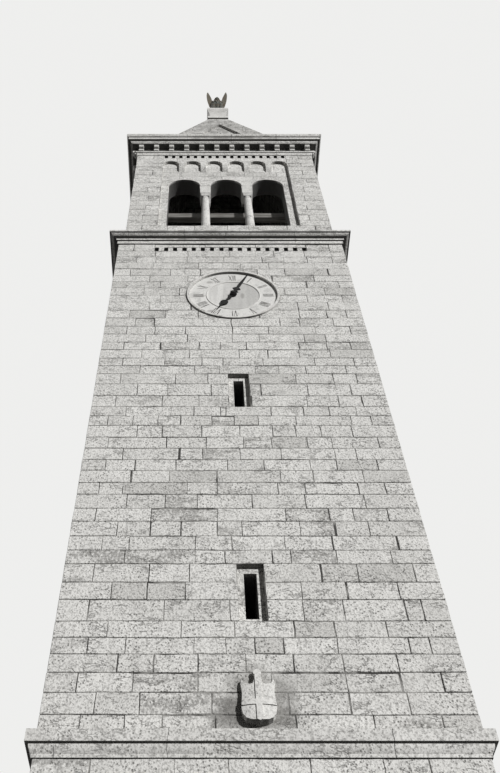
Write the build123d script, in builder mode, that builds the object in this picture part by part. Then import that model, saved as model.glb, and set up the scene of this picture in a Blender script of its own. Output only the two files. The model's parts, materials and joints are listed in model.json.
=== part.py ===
from build123d import *
import os

# Square stone clock tower: a plain shaft on a base storey, an open belfry with
# three round arches a side, a bracketed top cornice, a hollow stone spire and a
# winged lion on its pedestal. Millimetres, +Z up. The origin is the centre of
# the tower at ground level and the front looks along -Y.

# Sides of the tower, each with the turn about +Z that brings the front to it
SIDES = {"front": 0, "right": 90, "back": 180, "left": 270}

# Plan of the stages, as full widths and wall thicknesses
SHAFT_WIDTH = 5400
SHAFT_WALL = 900
BELFRY_WIDTH = 5200
BELFRY_WALL = 540
PIER_WIDTH = 775
PANEL_RECESS = 90

# Heights above the ground
GROUND_SLAB = 150
BASE_STRING_BOTTOM = 7110
CORNICE_BOTTOM = 20340
PARAPET_HEIGHT = 940
ARCH_SPRING_HEIGHT = 3670
BELFRY_HEIGHT = 5710

# Doorway in the front of the base storey
DOOR_WIDTH = 1300
DOOR_SPRING = 1750
DOOR_REVEAL = 350
DOOR_REBATE = 60
DOOR_LEAF = 70
DOOR_CLEARANCE = 5

# Slit windows, one above the other on the axis of every side
SLIT_CENTRES = (9620, 14420)
SLIT_WIDTH = 190
SLIT_HEIGHT = 820
SLIT_RECESS_WIDTH = 390
SLIT_RECESS_HEIGHT = 1030
SLIT_RECESS_DEPTH = 90

# Rows of square pockets between small dentils
DENTIL_COUNT = 17
SHAFT_DENTIL_PITCH = 222
BELFRY_DENTIL_PITCH = 218
DENTIL_POCKET_WIDTH = 100
DENTIL_POCKET_DEPTH = 70
DENTIL_POCKET_HEIGHT = 180
SHAFT_DENTIL_FILLET = 150

# Base string course, from its foot up: projections from the shaft
BASE_STRING_FOOT = 30
BASE_STRING_FOOT_HEIGHT = 45
BASE_STRING_OVOLO = 75
BASE_STRING_OVOLO_HEIGHT = 115
BASE_STRING_OVOLO_BULGE = 12
BASE_STRING_PROJECTION = 120
BASE_STRING_FASCIA = 160

# Belfry cornice, from its foot up: projections from the shaft
CORNICE_BAND = 42
CORNICE_BAND_HEIGHT = 130
CORNICE_FILLET = 76
CORNICE_FILLET_HEIGHT = 75
CORNICE_OVOLO_FOOT = 113
CORNICE_OVOLO_HEAD = 209
CORNICE_OVOLO_HEIGHT = 55
CORNICE_OVOLO_BULGE = 15
CORNICE_LIP = 240
CORNICE_LIP_HEIGHT = 70

# Belfry arcade
ARCH_COUNT = 3
ARCH_WIDTH = 880
ARCH_GAP = 290
COLUMN_DIAMETER = 240
COLUMN_TOP_DIAMETER = 200
COLUMN_BASE_WIDTH = 330
COLUMN_BASE_HEIGHT = 270
COLUMN_SIDES = 24
CAPITAL_HEIGHT = 350
CAPITAL_SPLAY_HEIGHT = 100
CAPITAL_FOOT_WIDTH = 225
IMPOST_HEIGHT = 160
IMPOST_OVERHANG = 8

# Row of small blind arches over the arcade
BLIND_COUNT = 6
BLIND_WIDTH = 475
BLIND_PITCH = 635
BLIND_FOOT_ABOVE_SPRING = 1000
BLIND_STILT = 400
BLIND_CORBEL_HEIGHT = 150
BLIND_STEPS = 12

# Beams of the bell frame
BEAM_WIDTH = 160
BEAM_HEIGHT = 260
BEAM_BOTTOM_ABOVE_FLOOR = 2680
BEAM_BEARING = 150
BEAM_GAP = 40
FLOOR_BEARING = 100

# Top entablature, from its foot up: projections from the belfry
ARCHITRAVE_FOOT = 20
ARCHITRAVE_HEAD = 55
ARCHITRAVE_HEIGHT = 120
ARCHITRAVE_LIP = 75
ARCHITRAVE_LIP_HEIGHT = 75
FRIEZE_HEIGHT = 305
BED_FOOT = 190
BED_HEAD = 250
BED_HEIGHT = 80
BED_BULGE = 12
CORONA_PROJECTION = 310
CORONA_HEIGHT = 140
CYMA_FOOT = 335
CYMA_HEIGHT = 90
CYMA_BULGE = 10
TOP_FILLET_PROJECTION = 370
TOP_FILLET_HEIGHT = 40

# Scroll brackets on the frieze, each a large lobe over a small one
BRACKET_COUNT = 12
BRACKET_PITCH = 457
BRACKET_WIDTH = 153
BRACKET_PROJECTION = 188
BRACKET_LOWER_PROJECTION = 120
BRACKET_LOWER_HEIGHT = 125
BRACKET_WAIST = 60
BRACKET_CHAMFER = 40

# Spire: a hollow pyramid of four slabs
SPIRE_BASE_WIDTH = 4900
SPIRE_TOP_WIDTH = 830
SPIRE_HEIGHT = 8750
SPIRE_SHELL = 300
SPIRE_PANEL_WIDTH = 3350
SPIRE_PANEL_HEIGHT = 7400
SPIRE_PANEL_DEPTH = 85

# Cap that closes the spire, and the pedestal on it
CAP_SHOULDER_WIDTH = 784
CAP_SHOULDER_HEIGHT = 100
CAP_NECK_WIDTH = 690
CAP_NECK_HEIGHT = 120
PEDESTAL_HEIGHT = 1150
PEDESTAL_BASE_WIDTH = 836
PEDESTAL_BASE_HEIGHT = 210
PEDESTAL_DIE_WIDTH = 640
PEDESTAL_CAP_WIDTH = 880
PEDESTAL_CAP_HEIGHT = 180
PEDESTAL_FLARE_HOLLOW = 45

# Winged lion, seated and looking to the front
LION_PLINTH_WIDTH = 800
LION_PLINTH_HEIGHT = 60
LION_BEVEL = 0.45
LION_WING_ROOT = 1050
LION_WING_THICKNESS = 90
LION_WING_LEAN = 12

# Blocks of the lion on its axis and of its right half: bottom and top over the
# pedestal, centre and size of the bottom, shift and scale of the top
LION_BODY_BLOCKS = (
    (60, 1450, (0, 90), (460, 560), (0, -130), 0.8),
    (700, 1600, (0, -100), (360, 330), (0, -60), 1.25),
    (1380, 1880, (0, -220), (340, 320), (0, 20), 0.7),
    (1490, 1660, (0, -370), (150, 130), (0, 15), 0.85),
)
LION_RIGHT_BLOCKS = (
    (60, 760, (275, 140), (290, 460), (-60, 40), 0.6),
    (60, 1000, (190, -250), (120, 150), (-40, 60), 1.3),
    (60, 170, (195, -300), (150, 180), (0, 10), 0.9),
    (60, 170, (325, -120), (150, 180), (0, 10), 0.9),
)

# Outline of the right wing from its root: out from the axis and up the blade
LION_WING_OUTLINE = (
    (60, 0),
    (200, -60),
    (330, 250),
    (410, 700),
    (455, 1150),
    (440, 1482),
    (350, 1250),
    (270, 850),
    (150, 450),
)

# Shield over the base string course, measured from its lower point
SHIELD_ABOVE_STRING = 85
SHIELD_DEPTH = 150
SHIELD_CURVE = 700
SHIELD_LEAN = 5
SHIELD_HALF_OUTLINE = (
    (0, 0),
    (45, 22),
    (105, 26),
    (165, 60),
    (205, 125),
    (220, 215),
    (210, 340),
    (203, 440),
    (219, 560),
    (205, 635),
    (172, 575),
    (100, 545),
    (62, 560),
    (30, 700),
)
FINIAL_DIAMETER = 104
FINIAL_HEIGHT = 725
CROSS_WIDTH = 76
CROSS_RELIEF = 16
CROSS_ARM_HEIGHT = 270

# Clock
CLOCK_CENTRE = 17950
CLOCK_DIAMETER = 2050
CLOCK_RIM_WIDTH = 50
CLOCK_RIM_DEPTH = 45
CLOCK_SIDES = 72
DIAL_POCKET_DEPTH = 60
DIAL_THICKNESS = 45
ARBOR_DIAMETER = 60
ARBOR_BOSS_DIAMETER = 120
ARBOR_BOSS_SIDES = 12
HAND_CLEARANCE = 25
HAND_THICKNESS = 14
HUB_THICKNESS = 24
HUB_GAP = 8
HUB_BORE_CLEARANCE = 0.05
HOUR_HUB_DIAMETER = 160
MINUTE_HUB_DIAMETER = 130
HOUR_ANGLE = 211
MINUTE_ANGLE = 23
RETAINER_THICKNESS = 14
RETAINER_DIAMETER = 90
RETAINER_SIDES = 6

# Half outlines of the hands: half width and distance from the axis
HOUR_OUTLINE = (
    (26, 0),
    (26, 130),
    (44, 165),
    (44, 185),
    (22, 215),
    (22, 305),
    (62, 335),
    (86, 385),
    (78, 440),
    (40, 490),
    (17, 540),
    (12, 640),
    (0, 700),
)
MINUTE_OUTLINE = (
    (25, 0),
    (25, 115),
    (58, 145),
    (98, 190),
    (58, 235),
    (24, 258),
    (38, 330),
    (30, 520),
    (13, 860),
    (0, 930),
)

# Places worked out from the sizes above
SHAFT_HALF = SHAFT_WIDTH / 2
SHAFT_INNER = SHAFT_HALF - SHAFT_WALL
BELFRY_HALF = BELFRY_WIDTH / 2
BELFRY_INNER = BELFRY_HALF - BELFRY_WALL
PANEL_PLANE = BELFRY_HALF - PANEL_RECESS
PANEL_WIDTH = BELFRY_WIDTH - 2 * PIER_WIDTH
PIER_INNER = BELFRY_HALF - PIER_WIDTH
BASE_STRING_OVOLO_BOTTOM = BASE_STRING_BOTTOM + BASE_STRING_FOOT_HEIGHT
BASE_STRING_FASCIA_BOTTOM = BASE_STRING_OVOLO_BOTTOM + BASE_STRING_OVOLO_HEIGHT
SHAFT_BOTTOM = BASE_STRING_FASCIA_BOTTOM + BASE_STRING_FASCIA
CORNICE_FILLET_BOTTOM = CORNICE_BOTTOM + CORNICE_BAND_HEIGHT
CORNICE_OVOLO_BOTTOM = CORNICE_FILLET_BOTTOM + CORNICE_FILLET_HEIGHT
CORNICE_LIP_BOTTOM = CORNICE_OVOLO_BOTTOM + CORNICE_OVOLO_HEIGHT
BELFRY_FLOOR = CORNICE_LIP_BOTTOM + CORNICE_LIP_HEIGHT
PARAPET_TOP = BELFRY_FLOOR + PARAPET_HEIGHT
ARCH_SPRING = BELFRY_FLOOR + ARCH_SPRING_HEIGHT
BELFRY_TOP = BELFRY_FLOOR + BELFRY_HEIGHT
ARCH_PITCH = ARCH_WIDTH + ARCH_GAP
ARCADE_WIDTH = ARCH_COUNT * ARCH_WIDTH + (ARCH_COUNT - 1) * ARCH_GAP
JAMB_WIDTH = (PANEL_WIDTH - ARCADE_WIDTH) / 2
COLUMN_PLANE = PANEL_PLANE - COLUMN_BASE_WIDTH / 2
IMPOST_PLANE = (PANEL_PLANE + BELFRY_INNER) / 2
IMPOST_DEPTH = PANEL_PLANE - BELFRY_INNER
CAPITAL_TOP = ARCH_SPRING - IMPOST_HEIGHT
COLUMN_TOP = CAPITAL_TOP - CAPITAL_HEIGHT
COLUMN_FOOT = PARAPET_TOP + COLUMN_BASE_HEIGHT
BLIND_FOOT = ARCH_SPRING + BLIND_FOOT_ABOVE_SPRING
BEAM_PLANE = BELFRY_INNER - BEAM_GAP - BEAM_WIDTH / 2
LIP_BOTTOM = BELFRY_TOP + ARCHITRAVE_HEIGHT
FRIEZE_BOTTOM = LIP_BOTTOM + ARCHITRAVE_LIP_HEIGHT
BED_BOTTOM = FRIEZE_BOTTOM + FRIEZE_HEIGHT
CORONA_BOTTOM = BED_BOTTOM + BED_HEIGHT
CYMA_BOTTOM = CORONA_BOTTOM + CORONA_HEIGHT
TOP_FILLET_BOTTOM = CYMA_BOTTOM + CYMA_HEIGHT
ENTABLATURE_TOP = TOP_FILLET_BOTTOM + TOP_FILLET_HEIGHT
SPIRE_TOP = ENTABLATURE_TOP + SPIRE_HEIGHT
CAP_NECK_BOTTOM = SPIRE_TOP + CAP_SHOULDER_HEIGHT
PEDESTAL_BOTTOM = CAP_NECK_BOTTOM + CAP_NECK_HEIGHT
PEDESTAL_TOP = PEDESTAL_BOTTOM + PEDESTAL_HEIGHT
DIAL_FACE = SHAFT_HALF - DIAL_POCKET_DEPTH + DIAL_THICKNESS
DIAL_DIAMETER = CLOCK_DIAMETER - 2 * CLOCK_RIM_WIDTH
REACH = SHAFT_WIDTH


def along(turn):
    """Unit vector along a side, to the right as seen from outside."""
    return Vector(1, 0, 0).rotate(Axis.Z, turn)


def outward(turn):
    """Unit vector out of a side."""
    return Vector(0, -1, 0).rotate(Axis.Z, turn)


def level(height, turn=0):
    """Horizontal plane at a height, with its -y out of a side."""
    return Plane(origin=(0, 0, height), x_dir=along(turn), z_dir=(0, 0, 1))


def elevation(distance, turn=0):
    """Upright plane parallel to a side, seen from outside, y as height."""
    return Plane(origin=outward(turn) * distance, x_dir=along(turn), z_dir=outward(turn))


def section(turn=0):
    """Upright plane across a side: x is the distance from the axis, y is height."""
    return Plane(origin=(0, 0, 0), x_dir=outward(turn), z_dir=along(turn) * -1)


def mitred(profile, turn):
    """One side of a course round the tower: its profile, mitred at both corners."""
    with BuildPart() as course:
        with BuildSketch(section(turn)):
            add(profile)
        extrude(amount=REACH, both=True)
        with BuildSketch(level(0, turn)):
            Polygon((0, 0), (REACH, -REACH), (-REACH, -REACH), align=None)
        extrude(amount=PEDESTAL_TOP, mode=Mode.INTERSECT)
    return course.part


def outline(*points):
    """Closed flat outline through straight corners."""
    with BuildSketch() as shape:
        with BuildLine():
            Polyline(*points, close=True)
        make_face()
    return shape.sketch


def mirrored(points):
    """Closed outline through half its corners and their mirror images across x = 0."""
    left = [(-x, y) for x, y in reversed(points) if x > 0]
    return outline(*points, *left)


def bulged(start, end, bulge):
    """Moulding curve between two points, bowed to its left by a small height."""
    chord = Vector(*end) - Vector(*start)
    middle = (Vector(*start) + Vector(*end)) / 2
    return ThreePointArc(start, middle + chord.rotate(Axis.Z, 90).normalized() * bulge, end)


def arched(width, foot, spring):
    """Round-headed opening centred on x = 0, from its foot to its spring line and over."""
    with BuildSketch() as shape:
        with BuildLine():
            Line((-width / 2, spring), (-width / 2, foot))
            Line((-width / 2, foot), (width / 2, foot))
            Line((width / 2, foot), (width / 2, spring))
            RadiusArc((width / 2, spring), (-width / 2, spring), -width / 2)
        make_face()
    return shape.sketch


def faceted_arch(width, foot, spring, steps):
    """Round-headed opening like arched, with its head in straight steps."""
    turns = [180 * step / steps for step in range(steps + 1)]
    head = [Vector(width / 2, 0).rotate(Axis.Z, turn) + Vector(0, spring) for turn in turns]
    return outline((-width / 2, foot), (width / 2, foot), *[(p.X, p.Y) for p in head])


def block(lower, upper):
    """Flat-sided solid between two outlines with as many corners, one over the other."""
    pairs = list(zip(lower, upper))
    walls = [Wire.make_polygon((a, b, d, c)) for (a, c), (b, d) in zip(pairs, pairs[1:] + pairs[:1])]
    ends = [Wire.make_polygon(lower), Wire.make_polygon(upper)]
    return Solid(Shell([Face(wire) for wire in walls + ends]))


def rectangle(low, high, height):
    """Corners of a rectangle at a height."""
    corners = (low, (high[0], low[1]), high, (low[0], high[1]))
    return [Vector(*corner, height) for corner in corners]


def ring(radius, sides, height):
    """Corners of a regular outline round the axis at a height."""
    turns = [360 * side / sides for side in range(sides)]
    return [Vector(radius, 0, height).rotate(Axis.Z, turn) for turn in turns]


def octagon(centre, size, height):
    """Corners of an oblong octagon at a height."""
    half_x, half_y = size[0] / 2, size[1] / 2
    corners = [Vector(half_x, half_y * LION_BEVEL), Vector(half_x * LION_BEVEL, half_y)]
    corners += [Vector(-corner.X, corner.Y) for corner in reversed(corners)]
    corners += [corner * -1 for corner in corners]
    return [corner + Vector(*centre, height) for corner in corners]


def tapered(bottom, top, centre, size, shift, scale):
    """Eight-sided block: its size at the bottom, and how its top is shifted and scaled."""
    upper_centre = (centre[0] + shift[0], centre[1] + shift[1])
    upper_size = (size[0] * scale, size[1] * scale)
    return block(octagon(centre, size, bottom), octagon(upper_centre, upper_size, top))


def save(part, name):
    """Label one finished sub-part and write its file."""
    part.label = name
    export_step(part, f"parts/{name}.step")


os.makedirs("parts", exist_ok=True)

# Ground floor, with the threshold that fills the foot of the doorway
with BuildPart() as ground_floor:
    with BuildSketch(level(0)):
        Rectangle(2 * SHAFT_INNER, 2 * SHAFT_INNER)
        with Locations((0, -SHAFT_INNER)):
            Rectangle(DOOR_WIDTH - 2 * DOOR_REBATE, 2 * SHAFT_WALL)
        Rectangle(2 * SHAFT_HALF, 2 * SHAFT_HALF, mode=Mode.INTERSECT)
    extrude(amount=GROUND_SLAB)
    with BuildSketch(level(0)):
        with Locations((0, -SHAFT_HALF + DOOR_REVEAL / 2)):
            Rectangle(DOOR_WIDTH, DOOR_REVEAL)
    extrude(amount=GROUND_SLAB)
save(ground_floor.part, "ground_floor")

# Base storey: four mitred walls, the front one with the doorway
base_wall_profile = outline(
    (SHAFT_INNER, 0),
    (SHAFT_HALF, 0),
    (SHAFT_HALF, BASE_STRING_BOTTOM),
    (SHAFT_INNER, BASE_STRING_BOTTOM),
)
for side, turn in SIDES.items():
    with BuildPart() as base_wall:
        add(mitred(base_wall_profile, turn))
        if side == "front":
            with BuildSketch(elevation(SHAFT_HALF, turn)):
                add(arched(DOOR_WIDTH, 0, DOOR_SPRING))
            extrude(amount=-DOOR_REVEAL, mode=Mode.SUBTRACT)
            with BuildSketch(elevation(SHAFT_HALF, turn)):
                add(arched(DOOR_WIDTH - 2 * DOOR_REBATE, 0, DOOR_SPRING))
            extrude(amount=-SHAFT_WALL, mode=Mode.SUBTRACT)
    save(base_wall.part, f"base_wall_{side}")

# Plank door, closed against its rebate
with BuildPart() as door_leaf:
    with BuildSketch(elevation(SHAFT_HALF - DOOR_REVEAL)):
        add(arched(DOOR_WIDTH - 2 * DOOR_CLEARANCE, GROUND_SLAB, DOOR_SPRING))
    extrude(amount=DOOR_LEAF)
save(door_leaf.part, "door_leaf")

# Base string course: a foot fillet, an ovolo and a deep fascia
with BuildSketch() as base_string_profile:
    with BuildLine():
        foot = SHAFT_HALF + BASE_STRING_FOOT
        fascia = SHAFT_HALF + BASE_STRING_PROJECTION
        ovolo_top = (SHAFT_HALF + BASE_STRING_OVOLO, BASE_STRING_FASCIA_BOTTOM)
        ovolo_bottom = (foot, BASE_STRING_OVOLO_BOTTOM)
        Polyline(
            ovolo_bottom,
            (foot, BASE_STRING_BOTTOM),
            (SHAFT_INNER, BASE_STRING_BOTTOM),
            (SHAFT_INNER, SHAFT_BOTTOM),
            (fascia, SHAFT_BOTTOM),
            (fascia, BASE_STRING_FASCIA_BOTTOM),
            ovolo_top,
        )
        bulged(ovolo_top, ovolo_bottom, BASE_STRING_OVOLO_BULGE)
    make_face()
for side, turn in SIDES.items():
    save(mitred(base_string_profile.sketch, turn), f"base_string_{side}")

# Shaft: four mitred walls with slit windows, dentil pockets and the bed of the dial
shaft_wall_profile = outline(
    (SHAFT_INNER, SHAFT_BOTTOM),
    (SHAFT_HALF, SHAFT_BOTTOM),
    (SHAFT_HALF, CORNICE_BOTTOM),
    (SHAFT_INNER, CORNICE_BOTTOM),
)
shaft_dentil_centre = CORNICE_BOTTOM - SHAFT_DENTIL_FILLET - DENTIL_POCKET_HEIGHT / 2
for side, turn in SIDES.items():
    with BuildPart() as shaft_wall:
        add(mitred(shaft_wall_profile, turn))
        with BuildSketch(elevation(SHAFT_HALF, turn)):
            with Locations(*[(0, centre) for centre in SLIT_CENTRES]):
                Rectangle(SLIT_RECESS_WIDTH, SLIT_RECESS_HEIGHT)
        extrude(amount=-SLIT_RECESS_DEPTH, mode=Mode.SUBTRACT)
        with BuildSketch(elevation(SHAFT_HALF, turn)):
            with Locations(*[(0, centre) for centre in SLIT_CENTRES]):
                Rectangle(SLIT_WIDTH, SLIT_HEIGHT)
        extrude(amount=-SHAFT_WALL, mode=Mode.SUBTRACT)
        with BuildSketch(elevation(SHAFT_HALF, turn)):
            with Locations((0, shaft_dentil_centre)):
                with GridLocations(SHAFT_DENTIL_PITCH, 1, DENTIL_COUNT, 1):
                    Rectangle(DENTIL_POCKET_WIDTH, DENTIL_POCKET_HEIGHT)
        extrude(amount=-DENTIL_POCKET_DEPTH, mode=Mode.SUBTRACT)
        if side == "front":
            with BuildSketch(elevation(SHAFT_HALF, turn)):
                with Locations((0, CLOCK_CENTRE)):
                    RegularPolygon(DIAL_DIAMETER / 2, CLOCK_SIDES)
            extrude(amount=-DIAL_POCKET_DEPTH, mode=Mode.SUBTRACT)
    save(shaft_wall.part, f"shaft_wall_{side}")

# Belfry cornice: band, fillet, ovolo and lip
with BuildSketch() as cornice_profile:
    with BuildLine():
        seat = SHAFT_INNER + FLOOR_BEARING
        ovolo_bottom = (SHAFT_HALF + CORNICE_OVOLO_FOOT, CORNICE_OVOLO_BOTTOM)
        ovolo_top = (SHAFT_HALF + CORNICE_OVOLO_HEAD, CORNICE_LIP_BOTTOM)
        Polyline(
            ovolo_bottom,
            (SHAFT_HALF + CORNICE_FILLET, CORNICE_OVOLO_BOTTOM),
            (SHAFT_HALF + CORNICE_FILLET, CORNICE_FILLET_BOTTOM),
            (SHAFT_HALF + CORNICE_BAND, CORNICE_FILLET_BOTTOM),
            (SHAFT_HALF + CORNICE_BAND, CORNICE_BOTTOM),
            (seat, CORNICE_BOTTOM),
            (seat, BELFRY_FLOOR),
            (SHAFT_HALF + CORNICE_LIP, BELFRY_FLOOR),
            (SHAFT_HALF + CORNICE_LIP, CORNICE_LIP_BOTTOM),
            ovolo_top,
        )
        bulged(ovolo_top, ovolo_bottom, CORNICE_OVOLO_BULGE)
    make_face()
for side, turn in SIDES.items():
    save(mitred(cornice_profile.sketch, turn), f"belfry_cornice_{side}")

# Belfry floor, resting on the tops of the shaft walls
with BuildPart() as belfry_floor:
    with BuildSketch(level(CORNICE_BOTTOM)):
        Rectangle(2 * (SHAFT_INNER + FLOOR_BEARING), 2 * (SHAFT_INNER + FLOOR_BEARING))
    extrude(amount=BELFRY_FLOOR - CORNICE_BOTTOM)
save(belfry_floor.part, "belfry_floor")

# Corner piers with the jambs of the arcade, pocketed for the beams
beam_centre = BELFRY_FLOOR + BEAM_BOTTOM_ABOVE_FLOOR + BEAM_HEIGHT / 2
with BuildPart() as belfry_piers:
    with BuildSketch(level(BELFRY_FLOOR)):
        with GridLocations(2 * (BELFRY_HALF - PIER_WIDTH / 2), 2 * (BELFRY_HALF - PIER_WIDTH / 2), 2, 2):
            Rectangle(PIER_WIDTH, PIER_WIDTH)
    extrude(amount=BELFRY_HEIGHT)
    for turn in SIDES.values():
        with BuildSketch(level(PARAPET_TOP, turn)):
            with Locations((0, -IMPOST_PLANE)):
                with GridLocations(PANEL_WIDTH - JAMB_WIDTH, 1, 2, 1):
                    Rectangle(JAMB_WIDTH, IMPOST_DEPTH)
        extrude(amount=ARCH_SPRING - PARAPET_TOP)
    for plane in (-BEAM_PLANE, BEAM_PLANE):
        with BuildSketch(Plane.YZ):
            with Locations((plane, beam_centre)):
                Rectangle(BEAM_WIDTH, BEAM_HEIGHT)
        extrude(amount=PIER_INNER + BEAM_BEARING, both=True, mode=Mode.SUBTRACT)
save(belfry_piers.part, "belfry_piers")

# Parapets between the piers
with BuildPart() as belfry_parapets:
    for turn in SIDES.values():
        with BuildSketch(level(BELFRY_FLOOR, turn)):
            with Locations((0, -(BELFRY_HALF + BELFRY_INNER) / 2)):
                Rectangle(PANEL_WIDTH, BELFRY_WALL)
        extrude(amount=PARAPET_HEIGHT)
save(belfry_parapets.part, "belfry_parapets")

# Columns of the arcade: square base, tapered shaft, splayed capital and impost
splay = CAPITAL_FOOT_WIDTH / 2
capital_seat = COLUMN_TOP + CAPITAL_SPLAY_HEIGHT
capital_lower = rectangle((-splay, -splay), (splay, splay), COLUMN_TOP)
capital_upper = rectangle(
    (-ARCH_GAP / 2, COLUMN_PLANE - PANEL_PLANE),
    (ARCH_GAP / 2, COLUMN_PLANE - BELFRY_INNER),
    capital_seat,
)
shaft_lower = ring(COLUMN_DIAMETER / 2, COLUMN_SIDES, COLUMN_FOOT)
shaft_upper = ring(COLUMN_TOP_DIAMETER / 2, COLUMN_SIDES, COLUMN_TOP)
with BuildPart() as column:
    with BuildSketch(level(PARAPET_TOP)):
        Rectangle(COLUMN_BASE_WIDTH, COLUMN_BASE_WIDTH)
    extrude(amount=COLUMN_BASE_HEIGHT)
    add(block(shaft_lower, shaft_upper))
    add(block(capital_lower, capital_upper))
    with BuildSketch(level(capital_seat)):
        with Locations((0, COLUMN_PLANE - IMPOST_PLANE)):
            Rectangle(ARCH_GAP, IMPOST_DEPTH)
    extrude(amount=CAPITAL_TOP - capital_seat)
    with BuildSketch(level(CAPITAL_TOP)):
        with Locations((0, COLUMN_PLANE - IMPOST_PLANE)):
            Rectangle(ARCH_GAP + 2 * IMPOST_OVERHANG, IMPOST_DEPTH)
    extrude(amount=IMPOST_HEIGHT)
with BuildPart() as belfry_columns:
    for turn in SIDES.values():
        for place in GridLocations(ARCH_PITCH, 1, ARCH_COUNT - 1, 1):
            with Locations(level(0, turn).location * Pos(place.position.X, -COLUMN_PLANE)):
                add(column.part)
save(belfry_columns.part, "belfry_columns")

# Head walls of the belfry: arches below, blind arches on corbels and dentils in front
belfry_dentil_centre = BELFRY_TOP - DENTIL_POCKET_HEIGHT / 2
corbel_cut = outline(
    (PANEL_PLANE, BLIND_FOOT),
    (BELFRY_HALF, BLIND_FOOT),
    (BELFRY_HALF, BLIND_FOOT + BLIND_CORBEL_HEIGHT),
)
for side, turn in SIDES.items():
    with BuildPart() as head_wall:
        with BuildSketch(level(ARCH_SPRING, turn)):
            with Locations((0, -(BELFRY_HALF + BELFRY_INNER) / 2)):
                Rectangle(PANEL_WIDTH, BELFRY_WALL)
        extrude(amount=BELFRY_TOP - ARCH_SPRING)
        with BuildSketch(elevation(PANEL_PLANE, turn)):
            with Locations((0, (ARCH_SPRING + BLIND_FOOT) / 2)):
                Rectangle(PANEL_WIDTH, BLIND_FOOT - ARCH_SPRING)
            with GridLocations(BLIND_PITCH, 1, BLIND_COUNT, 1):
                add(faceted_arch(BLIND_WIDTH, BLIND_FOOT, BLIND_FOOT + BLIND_STILT, BLIND_STEPS))
        extrude(amount=PANEL_RECESS, mode=Mode.SUBTRACT)
        with BuildSketch(section(turn)):
            add(corbel_cut)
        extrude(amount=PANEL_WIDTH / 2, both=True, mode=Mode.SUBTRACT)
        with BuildSketch(elevation(BELFRY_HALF, turn)):
            with Locations((0, ARCH_SPRING)):
                with GridLocations(ARCH_PITCH, 1, ARCH_COUNT, 1):
                    Circle(ARCH_WIDTH / 2)
        extrude(amount=-BELFRY_WALL, mode=Mode.SUBTRACT)
        with BuildSketch(elevation(BELFRY_HALF, turn)):
            with Locations((0, belfry_dentil_centre)):
                with GridLocations(BELFRY_DENTIL_PITCH, 1, DENTIL_COUNT, 1):
                    Rectangle(DENTIL_POCKET_WIDTH, DENTIL_POCKET_HEIGHT)
        extrude(amount=-DENTIL_POCKET_DEPTH, mode=Mode.SUBTRACT)
    save(head_wall.part, f"head_wall_{side}")

# Beams of the bell frame, housed in the piers
with BuildPart() as bell_beams:
    with BuildSketch(Plane.YZ):
        with Locations((-BEAM_PLANE, beam_centre), (BEAM_PLANE, beam_centre)):
            Rectangle(BEAM_WIDTH, BEAM_HEIGHT)
    extrude(amount=PIER_INNER + BEAM_BEARING, both=True)
save(bell_beams.part, "bell_beams")

# Top entablature: architrave with a lip, frieze, bed moulding, corona and cyma
with BuildSketch() as entablature_profile:
    with BuildLine():
        bed_foot = (BELFRY_HALF + BED_FOOT, BED_BOTTOM)
        bed_head = (BELFRY_HALF + BED_HEAD, CORONA_BOTTOM)
        cyma_foot = (BELFRY_HALF + CYMA_FOOT, CYMA_BOTTOM)
        cyma_head = (BELFRY_HALF + TOP_FILLET_PROJECTION, TOP_FILLET_BOTTOM)
        Polyline(
            bed_foot,
            (BELFRY_HALF, BED_BOTTOM),
            (BELFRY_HALF, FRIEZE_BOTTOM),
            (BELFRY_HALF + ARCHITRAVE_LIP, FRIEZE_BOTTOM),
            (BELFRY_HALF + ARCHITRAVE_LIP, LIP_BOTTOM),
            (BELFRY_HALF + ARCHITRAVE_HEAD, LIP_BOTTOM),
            (BELFRY_HALF + ARCHITRAVE_FOOT, BELFRY_TOP),
            (BELFRY_INNER, BELFRY_TOP),
            (BELFRY_INNER, ENTABLATURE_TOP),
            (BELFRY_HALF + TOP_FILLET_PROJECTION, ENTABLATURE_TOP),
            cyma_head,
        )
        bulged(cyma_head, cyma_foot, CYMA_BULGE)
        Polyline(
            cyma_foot,
            (BELFRY_HALF + CORONA_PROJECTION, CYMA_BOTTOM),
            (BELFRY_HALF + CORONA_PROJECTION, CORONA_BOTTOM),
            bed_head,
        )
        bulged(bed_head, bed_foot, BED_BULGE)
    make_face()
for side, turn in SIDES.items():
    save(mitred(entablature_profile.sketch, turn), f"entablature_{side}")

# Scroll brackets under the bed: a large lobe over a small one
waist = FRIEZE_BOTTOM + BRACKET_LOWER_HEIGHT
upper = BELFRY_HALF + BRACKET_PROJECTION
lower = BELFRY_HALF + BRACKET_LOWER_PROJECTION
bracket_profile = outline(
    (BELFRY_HALF, FRIEZE_BOTTOM),
    (lower - BRACKET_CHAMFER, FRIEZE_BOTTOM),
    (lower, FRIEZE_BOTTOM + BRACKET_CHAMFER),
    (lower, waist - BRACKET_CHAMFER),
    (BELFRY_HALF + BRACKET_WAIST, waist),
    (upper, waist + BRACKET_CHAMFER),
    (upper, BED_BOTTOM),
    (BELFRY_HALF, BED_BOTTOM),
)
with BuildPart() as cornice_brackets:
    for turn in SIDES.values():
        for place in GridLocations(BRACKET_PITCH, 1, BRACKET_COUNT, 1):
            with BuildSketch(section(turn).offset(place.position.X - BRACKET_WIDTH / 2)):
                add(bracket_profile)
            extrude(amount=BRACKET_WIDTH)
save(cornice_brackets.part, "cornice_brackets")

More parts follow.
